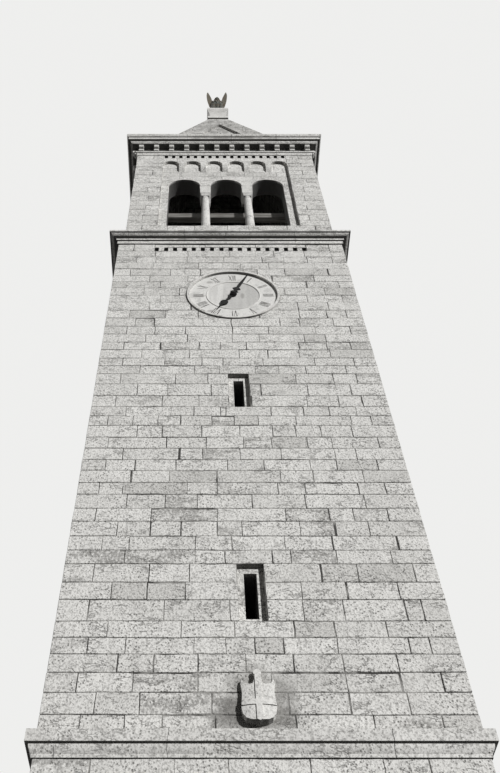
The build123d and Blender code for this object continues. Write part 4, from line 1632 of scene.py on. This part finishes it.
@dataclass
class Belfry:
    """Columns, arch rims and scroll brackets of the belfry and its entablature.

    The plinth has a half width, a height and a bevel. A ring of the shaft has a
    radius and a height, and one of the capital or the impost has a half width, a
    front, a back and a height.
    """

    plan: Plan
    stone: Limestone
    setting: SettingOut
    column_axis: float = 0.165
    column_sides: int = 32
    plinth: Triple = (0.165, 0.125, 0.007)
    shaft: tuple[Pair, ...] = (
        (0.158, 0.124), (0.165, 0.138), (0.165, 0.152), (0.158, 0.166), (0.138, 0.172),
        (0.129, 0.188), (0.138, 0.204), (0.145, 0.216), (0.145, 0.228), (0.137, 0.240),
        (0.124, 0.246), (0.121, 0.275), (0.116, 1.10), (0.101, 2.12), (0.110, 2.128),
        (0.114, 2.142), (0.110, 2.156), (0.101, 2.164), (0.102, 2.215),
    )
    capital: tuple[Quad, ...] = (
        (0.100, -0.100, 0.100, 2.210), (0.112, -0.114, 0.118, 2.222),
        (0.116, -0.122, 0.145, 2.250), (0.126, -0.140, 0.205, 2.285),
        (0.143, -0.161, 0.281, 2.312), (0.144, -0.164, 0.284, 2.322),
        (0.144, -0.164, 0.284, 2.560), (0.138, -0.158, 0.278, 2.566),
    )
    impost: tuple[Quad, ...] = (
        (0.142, -0.158, 0.278, 2.565), (0.148, -0.161, 0.281, 2.585),
        (0.153, -0.164, 0.284, 2.605), (0.153, -0.164, 0.284, 2.729),
    )
    arch_pitch: float = 1.17
    arch_radius: float = 0.44
    rim_width: float = 0.036
    rim_proud: float = 0.010
    bracket_count: int = 12
    bracket_pitch: float = 0.457
    bracket_width: float = 0.153
    eye_proud: float = 0.006

    def column(self) -> bmesh.types.BMesh:
        """Shapes one column.

        Returns:
            It, with plinth, turned base, splayed capital and impost.
        """
        shape = bmesh.new()
        half, high, bevel = self.plinth
        block(shape, (-half, -half, 0.0), (half, half, high), bevel)
        turned(shape, list(self.shaft), self.column_sides)
        for rings in (self.capital, self.impost):
            loops = []
            for wide, front, back, height in rings:
                corners = ((-wide, front), (wide, front), (wide, back), (-wide, back))
                loops.append([shape.verts.new((x, y, height)) for x, y in corners])
            stitch(shape, loops)
        return shape

    def bracket(self) -> bmesh.types.BMesh:
        """Shapes one scroll bracket.

        Returns:
            It, a large lobe over a small one, with an eye in each.
        """
        shape = bmesh.new()
        lobes = ((0.100, 0.215, 0.088, 90, -62), (0.062, 0.058, 0.058, 58, -90))
        profile = [(-0.012, 0.304)]
        for out, up, radius, first, last in lobes:
            for k in range(9):
                angle = math.radians(first + (last - first) * k / 8)
                profile.append((out + radius * math.cos(angle), up + radius * math.sin(angle)))
            if up > 0.1:
                profile.append((0.072, 0.124))
        profile.append((-0.012, 0.0))
        half = self.bracket_width / 2 - self.eye_proud
        outline = [Vector((-half, -out, up)) for out, up in profile]
        edges = prism(shape, outline, Vector((2 * half, 0, 0)))
        rims = [e for e in edges if abs(e.verts[0].co.x - e.verts[1].co.x) < 1e-6]
        bmesh.ops.bevel(shape, geom=rims, offset=0.005, segments=1, affect="EDGES")
        sideways = Matrix.Rotation(math.radians(90), 4, "Y")
        for out, up, radius, _, _ in lobes:
            place = Matrix.Translation((-half - self.eye_proud, -out, up)) @ sideways
            eye, reach = radius * 0.45, 2 * (half + self.eye_proud)
            rings = [(eye * 0.6, 0.0), (eye, 0.004), (eye, reach - 0.004), (eye * 0.6, reach)]
            turned(shape, rings, 12, place)
        return shape

    def rims(self) -> bmesh.types.BMesh:
        """Shapes the thin raised rim round one arch of the arcade.

        Returns:
            The rim.
        """
        shape = bmesh.new()
        radii = (self.arch_radius, self.arch_radius + self.rim_width)
        arch_stones(shape, radii, self.rim_proud + 0.01, 5, 0.003)
        return shape

    def build(self) -> None:
        """Makes the columns, the rims and the brackets."""
        plan = self.plan
        carved = replace(self.stone, pitting=0.55).dressed("limestone_carved")
        between = [(i + 0.5 - 1) * self.arch_pitch for i in range(2)]
        axis = -plan.panel_plane + self.column_axis
        places = [(Vector((x, axis, plan.parapet_top)), side) for side in Side for x in between]
        columns = self.setting.set_out("columns", self.column(), places, carved)
        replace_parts(columns, "belfry_columns")
        face = -plan.panel_plane - self.rim_proud
        places = [
            (Vector((i * self.arch_pitch, face, plan.arch_spring)), side)
            for side in Side for i in (-1, 0, 1)
        ]
        self.setting.set_out("arch_rims", self.rims(), places, carved)
        first = -(self.bracket_count - 1) / 2
        places = [
            (Vector(((first + i) * self.bracket_pitch, -plan.belfry, plan.bracket_foot)), side)
            for side in Side for i in range(self.bracket_count)
        ]
        scrolls = self.setting.set_out("scroll_brackets", self.bracket(), places, carved)
        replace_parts(scrolls, "cornice_brackets")


@dataclass
class Door:
    """Plank door with strap hinges, nails and a ring.

    The strap gives the place across and the half height along it, the grip the
    place across and the height of the ring's plate, and the ring its radius, the
    radius of its bar and how far it hangs. Nail and plate are turned profiles.
    """

    oak: OldOak
    iron: BlackIron
    setting: SettingOut
    planks: int = 7
    plank_depth: float = 0.045
    gap: float = 0.003
    ledges: tuple[float, ...] = (0.35, 1.05, 1.65)
    ledge_height: float = 0.14
    ledge_inset: float = 0.03
    straps: Pair = (0.45, 1.50)
    strap_rise: float = 0.1
    strap: tuple[Pair, ...] = (
        (0.15, 0.026), (0.30, 0.020), (0.34, 0.040), (0.40, 0.030), (0.45, 0.0),
    )
    nail_rows: tuple[float, ...] = (0.30, 0.72, 1.14, 1.76)
    nail: tuple[Pair, ...] = ((0.013, -0.004), (0.013, 0.002), (0.009, 0.007), (0.003, 0.009))
    plate: tuple[Pair, ...] = ((0.05, 0.0), (0.05, 0.008), (0.04, 0.012), (0.015, 0.026))
    grip: Pair = (0.47, 1.08)
    ring: Triple = (0.062, 0.008, 0.06)

    def build(self) -> None:
        """Makes the planks, the ledges behind them and the ironwork."""
        low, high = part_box("door_leaf")
        half, spring = high.x, high.z - high.x
        pitch = 2 * half / self.planks
        shape = bmesh.new()
        for i in range(self.planks):
            left = -half + i * pitch + self.gap / 2
            right = left + pitch - self.gap
            outline = [Vector((right, low.y, low.z)), Vector((left, low.y, low.z))]
            for k in range(7):
                x = left + (right - left) * k / 6
                rise = math.sqrt(max(0.0, half * half - x * x))
                outline.append(Vector((x, low.y, spring + rise)))
            edges = prism(shape, outline, Vector((0, self.plank_depth, 0)))
            front = [e for e in edges if all(v.co.y == low.y for v in e.verts)]
            bmesh.ops.bevel(shape, geom=front, offset=ARRIS, segments=1, affect="EDGES")
        near, far, reach = low.y + self.plank_depth, high.y, half - self.ledge_inset
        for foot in self.ledges:
            block(shape, (-reach, near, foot), (reach, far, foot + self.ledge_height), ARRIS)
        planks = new_piece("door_planks", shape, self.oak.material("oak_door"))
        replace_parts(planks, "door_leaf")
        iron = self.iron.material("door_iron")
        self.ironwork(low.y, half, iron)
        nail = bmesh.new()
        turned(nail, list(self.nail), 8, AHEAD)
        places = [
            (Vector((-half + (i + where) * pitch, low.y, height)), Side.FRONT)
            for height in self.nail_rows for i in range(self.planks) for where in (0.25, 0.75)
        ]
        self.setting.set_out("door_nails", nail, places, iron, "black_iron")

    def ironwork(self, face: float, half: float, iron: bpy.types.Material) -> None:
        """Makes the straps, the ring and its plate.

        Args:
            face: The y of the door's face.
            half: Half the door's width.
            iron: The finish.
        """
        shape = bmesh.new()
        profile = [(-half + 0.01, 0.035), *self.strap]
        for height in self.straps:
            middle = height + self.strap_rise
            outline = [Vector((x, face - 0.008, middle + w)) for x, w in profile]
            outline += [Vector((x, face - 0.008, middle - w)) for x, w in profile[-2::-1]]
            edges = prism(shape, outline, Vector((0, 0.012, 0)))
            bmesh.ops.bevel(shape, geom=edges, offset=0.0015, segments=1, affect="EDGES")
        across, up = self.grip
        place = Matrix.Translation((across, face + 0.004, up)) @ AHEAD
        turned(shape, list(self.plate), 20, place)
        radius, bar, hang = self.ring
        section = [(radius + bar * x, bar * y) for x, y in circle(8)]
        hoop(shape, section, 28, Vector((across, face - 0.022, up - hang)))
        new_piece("door_ironwork", shape, iron)


@dataclass
class ClockFace:
    """Numerals and ring of the dial.

    A letter has strokes, each with its x at the foot, its x at the head and
    whether it is thick, and takes up its advance.
    """

    plan: Plan
    marble: DialMarble
    paint: BlackIron = BlackIron(paint=(0.12, 0.116, 0.11), chalk=(0.42, 0.415, 0.40))
    ring_width: float = 0.024
    ring_proud: float = 0.014
    ring_edge: Pair = (0.004, 0.003)
    inner: float = 0.655
    outer: float = 0.885
    thick: float = 0.021
    thin: float = 0.010
    relief: float = 0.002
    advance: ClassVar[dict[str, float]] = {"I": 0.042, "V": 0.090, "X": 0.090}
    letters: ClassVar[dict[str, tuple[tuple[float, float, bool], ...]]] = {
        "I": ((0.016, 0.016, True),),
        "V": ((0.040, 0.008, True), (0.040, 0.072, False)),
        "X": ((0.072, 0.008, True), (0.008, 0.072, False)),
    }
    numerals: tuple[str, ...] = (
        "XII", "I", "II", "III", "IIII", "V", "VI", "VII", "VIII", "IX", "X", "XI"
    )

    def strokes(self, numeral: str) -> list[Triple]:
        """Straight strokes of one numeral, side by side.

        Args:
            numeral: Its letters.

        Returns:
            For each stroke its x at the foot, x at the head and width.
        """
        laid, at = [], 0.0
        for letter in numeral:
            for foot, head, thick in self.letters[letter]:
                laid.append((at + foot, at + head, self.thick if thick else self.thin))
            at += self.advance[letter]
        return [(a - at / 2, b - at / 2, w) for a, b, w in laid]

    def build(self) -> None:
        """Makes the numerals and the ring."""
        face, centre = self.plan.dial_face, self.plan.dial_centre
        shape = bmesh.new()
        for hour, numeral in enumerate(self.numerals):
            turn = Matrix.Rotation(math.tau * hour / 12, 4, "Y")
            place = Matrix.Translation((0, face - self.relief, centre)) @ turn
            for foot, head, width in self.strokes(numeral):
                corners = [
                    (foot - width / 2, self.inner), (foot + width / 2, self.inner),
                    (head + width / 2, self.outer), (head - width / 2, self.outer),
                ]
                outline = [place @ Vector((x, 0, r)) for x, r in corners]
                prism(shape, outline, Vector((0, 2 * self.relief, 0)))
        new_piece("dial_numerals", shape, self.paint.material("worn_numerals"))
        ring = bmesh.new()
        low, high = (self.marble.disc_radius + s * self.ring_width / 2 for s in (-1, 1))
        back, front = face + 0.004, face - self.ring_proud
        across, along = self.ring_edge
        section = [(high, back), (high, front + along), (high - across, front)]
        section += [(low + across, front), (low, front + along), (low, back)]
        hoop(ring, section, 96, Vector((0, 0, centre)))
        new_piece("dial_ring", ring, self.marble.material("ring_marble", centre))


@dataclass
class WingedLion:
    """Seated lion with raised wings, in bronze.

    Lumps are ellipsoids: centre over the pedestal, half sizes and the tilt
    about X in degrees. Those of one flank are mirrored to the other.

    A row of the mane has a radius, a height, a number of locks and the half
    angle left clear. The tips say where each long feather ends, and the coverts
    are the short ones over them. The plinth has a half width and a height.
    """

    bronze: Bronze
    voxel: float = 0.015
    smooth: int = 4
    plinth: Pair = (0.40, 0.06)
    wing_root: float = 1.05
    wing_lean: float = 12.0
    tips: tuple[float, ...] = (0.93, 0.97, 1.0, 1.0, 0.98, 0.95, 0.90, 0.84, 0.76)
    coverts: int = 7
    tail: int = 14
    tuft: int = 3
    axis_lumps: tuple[tuple[float, ...], ...] = (
        (0, 0.08, 0.70, 0.21, 0.25, 0.60, 12), (0, 0.10, 0.38, 0.25, 0.24, 0.32, 0),
        (0, -0.10, 1.10, 0.20, 0.19, 0.36, 4), (0, -0.13, 1.42, 0.20, 0.19, 0.27, 0),
        (0, -0.18, 1.64, 0.150, 0.150, 0.155, 0), (0, -0.315, 1.59, 0.072, 0.065, 0.058, 0),
        (0, -0.370, 1.625, 0.034, 0.020, 0.022, 0), (0, -0.320, 1.515, 0.048, 0.045, 0.030, 0),
    )
    flank_lumps: tuple[tuple[float, ...], ...] = (
        (0.23, 0.12, 0.34, 0.15, 0.24, 0.30, 0), (0.30, -0.03, 0.20, 0.10, 0.22, 0.13, 0),
        (0.32, -0.20, 0.105, 0.078, 0.14, 0.055, 0), (0.16, -0.15, 1.06, 0.11, 0.13, 0.24, 0),
        (0.165, -0.21, 0.72, 0.078, 0.085, 0.32, -3), (0.17, -0.235, 0.38, 0.062, 0.066, 0.3, 0),
        (0.175, -0.29, 0.105, 0.08, 0.115, 0.055, 0), (0.135, -0.375, 0.095, 0.028, 0.04, 0.034, 0),
        (0.178, -0.39, 0.095, 0.028, 0.04, 0.034, 0), (0.22, -0.375, 0.095, 0.028, 0.04, 0.034, 0),
        (0.12, -0.13, 1.76, 0.04, 0.028, 0.05, 0), (0.055, -0.295, 1.68, 0.048, 0.035, 0.026, 0),
        (0.048, -0.335, 1.56, 0.044, 0.042, 0.042, 0), (0.16, 0.02, 1.18, 0.1, 0.09, 0.18, 0),
    )
    mane: tuple[tuple[float, float, int, float], ...] = (
        (0.150, 1.72, 9, 62), (0.200, 1.62, 11, 58), (0.215, 1.50, 12, 40),
        (0.215, 1.34, 12, 0), (0.190, 1.18, 10, 0),
    )
    outer_edge: tuple[Pair, ...] = (
        (0.20, -0.06), (0.33, 0.25), (0.41, 0.70), (0.450, 1.12), (0.450, 1.47),
    )
    inner_edge: tuple[Pair, ...] = (
        (0.06, 0.00), (0.15, 0.45), (0.25, 0.82), (0.29, 1.14), (0.335, 1.42),
    )

    @staticmethod
    def lump(shape: bmesh.types.BMesh, centre: Vector, size: Vector, tilt: float = 0.0) -> None:
        """Adds one ellipsoid.

        Args:
            shape: The mesh that it joins.
            centre: Its centre.
            size: Its half sizes.
            tilt: Its tilt about X in degrees.
        """
        place = Matrix.Translation(centre) @ Matrix.Rotation(math.radians(tilt), 4, "X")
        place = place @ Matrix.Diagonal((*size, 1.0))
        bmesh.ops.create_icosphere(shape, subdivisions=3, radius=1.0, matrix=place)

    def body(self, foot: float) -> bpy.types.Mesh:
        """Models the lion's body from lumps, melted together.

        Args:
            foot: Level of the pedestal's top.

        Returns:
            The mesh.
        """
        shape = bmesh.new()
        lumps = [(1, lump) for lump in self.axis_lumps]
        lumps += [(sign, lump) for lump in self.flank_lumps for sign in (-1, 1)]
        for sign, (x, y, z, wide, deep, high, tilt) in lumps:
            self.lump(shape, Vector((sign * x, y, foot + z)), Vector((wide, deep, high)), tilt)
        for row, (radius, height, count, clear) in enumerate(self.mane):
            for i in range(count):
                angle = math.tau * (i + 0.5 * (row % 2)) / count
                if math.degrees(abs(math.remainder(angle, math.tau))) < clear:
                    continue
                x, y = radius * math.sin(angle), -0.11 - radius * 0.9 * math.cos(angle)
                size = Vector((0.050, 0.050, 0.100))
                self.lump(shape, Vector((x, y, foot + height)), size)
        for i in range(self.tail):
            t = i / (self.tail - 1)
            angle = math.radians(-80 + 150 * t)
            centre = Vector((0.02 + 0.34 * math.sin(math.pi / 2 * t), 0.33 - 0.20 * t * t, 0))
            centre.z = foot + 0.10 + 0.03 * math.sin(angle)
            thick = 0.030 + (0.018 if i >= self.tail - self.tuft else 0.0)
            self.lump(shape, centre, Vector((thick, thick * 1.2, thick)))
        holder = add_object("lion_lumps", mesh_from(shape, "lion_lumps"))
        remesh = holder.modifiers.new("melt", "REMESH")
        remesh.mode = "VOXEL"
        remesh.voxel_size = self.voxel
        remesh.use_smooth_shade = True
        holder.modifiers.new("relax", "SMOOTH").iterations = self.smooth
        mesh = evaluated(holder)
        bpy.data.objects.remove(holder)
        return mesh

    @staticmethod
    def along(edge: tuple[Pair, ...], t: float) -> Vector:
        """Point of an edge of the wing.

        Args:
            edge: Points of the edge.
            t: Where on it, from 0 at its root to 1 at its tip.

        Returns:
            The point.
        """
        at = min(max(t, 0.0), 1.0) * (len(edge) - 1)
        i = min(int(at), len(edge) - 2)
        return Vector(edge[i]).lerp(Vector(edge[i + 1]), at - i)

    def spot(self, across: float, t: float) -> Vector:
        """Point of the wing.

        Args:
            across: Where it lies between the outer and the inner edge.
            t: Where it lies from the root to the tip.

        Returns:
            The point.
        """
        return self.along(self.outer_edge, t).lerp(self.along(self.inner_edge, t), across)

    def feather(
        self, shape: bmesh.types.BMesh, across: float, ends: Pair, depth: Pair, half: float,
        place: Matrix, mirror: int,
    ) -> None:
        """Adds one feather.

        Args:
            shape: The mesh that it joins.
            across: Where it lies between the outer and the inner edge.
            ends: Where it begins and ends along the wing.
            depth: How far its back and front stand off the wing's plane.
            half: Half its width.
            place: Where the wing's plane stands.
            mirror: 1 on the right wing and -1 on the left one.
        """
        left, right = [], []
        steps = 12
        for k in range(steps + 1):
            t = ends[0] + (ends[1] - ends[0]) * k / steps
            spot = self.spot(across, t)
            way = self.spot(across, t + 0.04) - spot
            way = way.normalized() if way.length > 1e-6 else Vector((0, 1))
            root, tip = min(1.0, 0.45 + 2.0 * k / steps), min(1.0, ((steps - k) / steps * 5) ** 0.5)
            normal = Vector((way.y, -way.x)) * max(half * root * tip, 0.002)
            left.append(spot - normal)
            right.append(spot + normal)
        points = right + left[::-1]
        outline = [place @ Vector((mirror * (q.x - half * 0.6), -depth[0], q.y)) for q in points]
        away = place.to_3x3() @ Vector((0, -(depth[1] - depth[0]), 0))
        prism(shape, outline, away)

    def wings(self, foot: float) -> bmesh.types.BMesh:
        """Builds both wings of overlapping feathers.

        Args:
            foot: Level of the pedestal's top.

        Returns:
            The wings.
        """
        shape = bmesh.new()
        place = Matrix.Translation((0, 0.045, foot + self.wing_root))
        place = place @ Matrix.Rotation(math.radians(self.wing_lean), 4, "X")
        last = len(self.tips) - 1
        for mirror in (-1, 1):
            for k, tip in enumerate(self.tips):
                across, back = 0.06 + 0.86 * k / last, 0.004 + 0.006 * (last - k)
                depth = (back, back + 0.022)
                self.feather(shape, across, (0.02, tip), depth, 0.030, place, mirror)
            for k in range(self.coverts):
                across, ends = 0.05 + 0.9 * k / (self.coverts - 1), (0.0, 0.44 - 0.035 * k)
                self.feather(shape, across, ends, (0.066, 0.084), 0.026, place, mirror)
            self.feather(shape, 0.0, (0.0, 0.80), (0.050, 0.090), 0.020, place, mirror)
        return shape

    def build(self) -> None:
        """Makes the lion on its plinth."""
        low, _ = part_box("winged_lion")
        half, high = self.plinth
        inner = half - 0.02
        plinth = bmesh.new()
        block(plinth, (-half, -half, low.z), (half, half, low.z + high - 0.012), 0.006)
        block(plinth, (-inner, -inner, low.z), (inner, inner, low.z + high), ARRIS)
        metal = self.bronze.material("lion_bronze")
        parts = {"body": self.body(low.z), "wings": self.wings(low.z), "plinth": plinth}
        for part, made in parts.items():
            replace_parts(new_piece(f"lion_{part}", made, metal), "winged_lion")


@dataclass
class Studio:
    """Camera, lamps, floor and background.

    A lamp has an azimuth, a height, a strength and a softness. The floor is light
    and glows to what looks at it, and is dark to what it lights.
    """

    eye: Triple = (-0.727, -12.2, 1.6)
    pitch: float = 53.7
    focal_px: float = 853.0
    frame_px: tuple[int, int] = (500, 773)
    centre_px: Pair = (200.3, 386.5)
    sensor: float = 36.0
    key: Quad = (37.0, 10.0, 3.75, 2.0)
    fill: Quad = (212.0, 30.0, 2.7, 20.0)
    sky: float = 0.09
    backdrop: Colour = (0.86, 0.86, 0.85)
    floor_light: Colour = (0.59, 0.59, 0.58)
    floor_dark: Colour = (0.06, 0.06, 0.06)
    floor_glow: float = 0.49
    floor_half: float = 450.0

    def camera(self) -> None:
        """Sets the camera where the photograph was taken from."""
        data = bpy.data.cameras.new("camera")
        data.sensor_width = self.sensor
        data.lens = self.focal_px * self.sensor / max(self.frame_px)
        data.shift_x = (self.frame_px[0] / 2 - self.centre_px[0]) / max(self.frame_px)
        data.clip_end = 500.0
        camera = add_object("camera", data)
        camera.location = self.eye
        camera.rotation_euler = (math.radians(90 + self.pitch), 0, 0)
        bpy.context.scene.camera = camera

    @staticmethod
    def lamp(name: str, azimuth: float, height: float, strength: float, softness: float) -> None:
        """Adds one distant lamp.

        Args:
            name: Its name.
            azimuth: Degrees to the right of the front that it stands at.
            height: Degrees above the horizon.
            strength: Its strength.
            softness: Its apparent size in degrees.
        """
        across, up = math.radians(azimuth), math.radians(height)
        towards = Vector((
            math.sin(across) * math.cos(up), -math.cos(across) * math.cos(up), math.sin(up)
        ))
        data = bpy.data.lights.new(name, "SUN")
        data.energy = strength
        data.angle = math.radians(softness)
        add_object(name, data).rotation_euler = towards.to_track_quat("Z", "Y").to_euler()

    def world(self) -> None:
        """Plain sky: an even light, and a pale colour for what looks at it."""
        shade = Shade("sky", world=True)
        light, view = (
            shade.node("ShaderNodeBackground", inputs={"Color": (*colour, 1.0), "Strength": power})
            for colour, power in (((1.0, 1.0, 1.0), self.sky), (self.backdrop, 1.0))
        )
        shade.end(shade.node("ShaderNodeMixShader", inputs={0: shade.seen(), 1: light, 2: view}))
        bpy.context.scene.world = shade.made

    def floor(self) -> None:
        """Adds the plain floor, pale to look at and darker to what it lights."""
        shape = bmesh.new()
        bmesh.ops.create_grid(shape, x_segments=1, y_segments=1, size=self.floor_half)
        mesh = bpy.data.meshes.new("floor")
        shape.to_mesh(mesh)
        shape.free()
        shade = Shade("floor_paint")
        seen = shade.seen()
        colour = shade.mix(seen, self.floor_dark, self.floor_light)
        others = {
            "Specular IOR Level": 0.0, "Emission Strength": self.floor_glow,
            "Emission Color": shade.mix(seen, (0.0, 0.0, 0.0), self.backdrop),
        }
        mesh.materials.append(shade.close(colour, 1.0, others=others))
        floor = add_object("floor", mesh)
        floor.location.z = -0.002

    def build(self) -> None:
        """Sets up the whole studio."""
        self.camera()
        self.lamp("key", *self.key)
        self.lamp("fill", *self.fill)
        self.world()
        self.floor()
        bpy.context.scene.view_settings.view_transform = "Standard"


@dataclass
class NodeFinishes:
    """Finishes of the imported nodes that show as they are.

    A wash is the left, right, bottom and top of a darker stretch.
    """

    plan: Plan
    stone: Limestone
    marble: DialMarble
    iron: BlackIron
    beam: OldOak = OldOak(
        light=(0.230, 0.224, 0.208), dark=(0.080, 0.074, 0.066), grain=(1.6, 28.0, 28.0)
    )
    bracket_height: float = 0.29
    pocket_height: float = 0.19
    washes: tuple[Rect, ...] = (
        (-0.92, 1.63, 26.97, 27.12), (-2.2, -0.3, 20.58, 20.69), (0.7, 2.3, 20.58, 20.69),
        (-1.6, 0.4, 20.46, 20.55),
    )
    other_washes: tuple[Rect, ...] = (
        (-2.1, -0.4, 26.97, 27.12), (0.3, 1.7, 20.58, 20.69), (-2.4, -1.2, 20.46, 20.55),
    )

    @staticmethod
    def paint(nodes: list[str], material: bpy.types.Material) -> None:
        """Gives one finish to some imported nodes.

        Args:
            nodes: Names of the nodes.
            material: The finish.
        """
        for name in nodes:
            node = frame["nodes"][name]
            node.data.materials.clear()
            node.data.materials.append(material)
        LOG.info("%s on %s", material.name, ", ".join(nodes))

    def build(self) -> None:
        """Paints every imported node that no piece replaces."""
        plan = self.plan
        walls = [f"{n}_{side.label}" for n in ("base_wall", "shaft_wall") for side in Side]
        # Painted shade in the shaft's pockets and inside the walls' openings.
        pockets = plan.shaft_top - 0.40
        self.paint(walls, self.stone.backing("limestone_shaft_core", plan.shaft, pockets))
        core = self.stone.backing("limestone_belfry_core", plan.belfry)
        self.paint(["belfry_piers", "belfry_parapets"], core)
        weathered = replace(
            self.stone, pale=(0.68, 0.67, 0.645), dull=(0.42, 0.413, 0.395),
            joint=0.016, relief=0.034, smoke=0.60, streaks=(0.53, 0.44),
        )
        # Painted shade, nearly black, on the mouldings' hanging faces and between the brackets.
        undercut = replace(
            self.stone, crust=0.94, hanging=(-0.965, 0.025), course=0.0, length=1.35
        )
        bed, top = plan.bracket_foot, plan.belfry_top
        for side in Side:
            label = side.label
            run = Run.X if side in (Side.FRONT, Side.BACK) else Run.Y
            moulded = undercut.drawn(
                f"limestone_moulding_{label}", run,
                washes=self.washes if side is Side.FRONT else self.other_washes,
                shade_band=(bed + 0.01, bed + self.bracket_height, plan.belfry + 0.05),
            )
            names = ("base_string", "belfry_cornice", "entablature")
            self.paint([f"{n}_{label}" for n in names], moulded)
            self.paint([f"spire_{label}"], weathered.drawn(f"limestone_spire_{label}", run))
            # Painted shade inside the belfry's arches and in its top pockets.
            walled = self.stone.drawn(
                f"limestone_head_{label}", run, inside=plan.panel_plane - 0.035,
                shade_band=(top - self.pocket_height, top, plan.belfry - 0.012),
            )
            self.paint([f"head_wall_{label}"], walled)
        plain = replace(self.stone, pitting=0.45).dressed("limestone_dressed")
        dressed = ["ground_floor", "belfry_floor", "spire_cap", "pedestal", "shield", "clock_rim"]
        self.paint(dressed, plain)
        self.paint(["dial"], self.marble.material("dial_marble", plan.dial_centre))
        self.paint(["clock_arbor", "hour_hand", "minute_hand"], self.iron.material("black_iron"))
        self.paint(["bell_beams"], self.beam.material("oak_beam"))


def main() -> None:
    """Builds the dressed tower, sub-assembly by sub-assembly."""
    logging.basicConfig(level=logging.INFO, format="%(message)s")
    plan = Plan.read()
    stone, marble, iron, oak = Limestone(), DialMarble(), BlackIron(), OldOak()
    Studio().build()
    NodeFinishes(plan, stone, marble, iron).build()
    Masonry(plan, stone, StoneDressing()).build()
    setting = SettingOut()
    Belfry(plan, stone, setting).build()
    Door(oak, iron, setting).build()
    ClockFace(plan, marble).build()
    WingedLion(Bronze()).build()


if __name__ == "__main__":
    main()
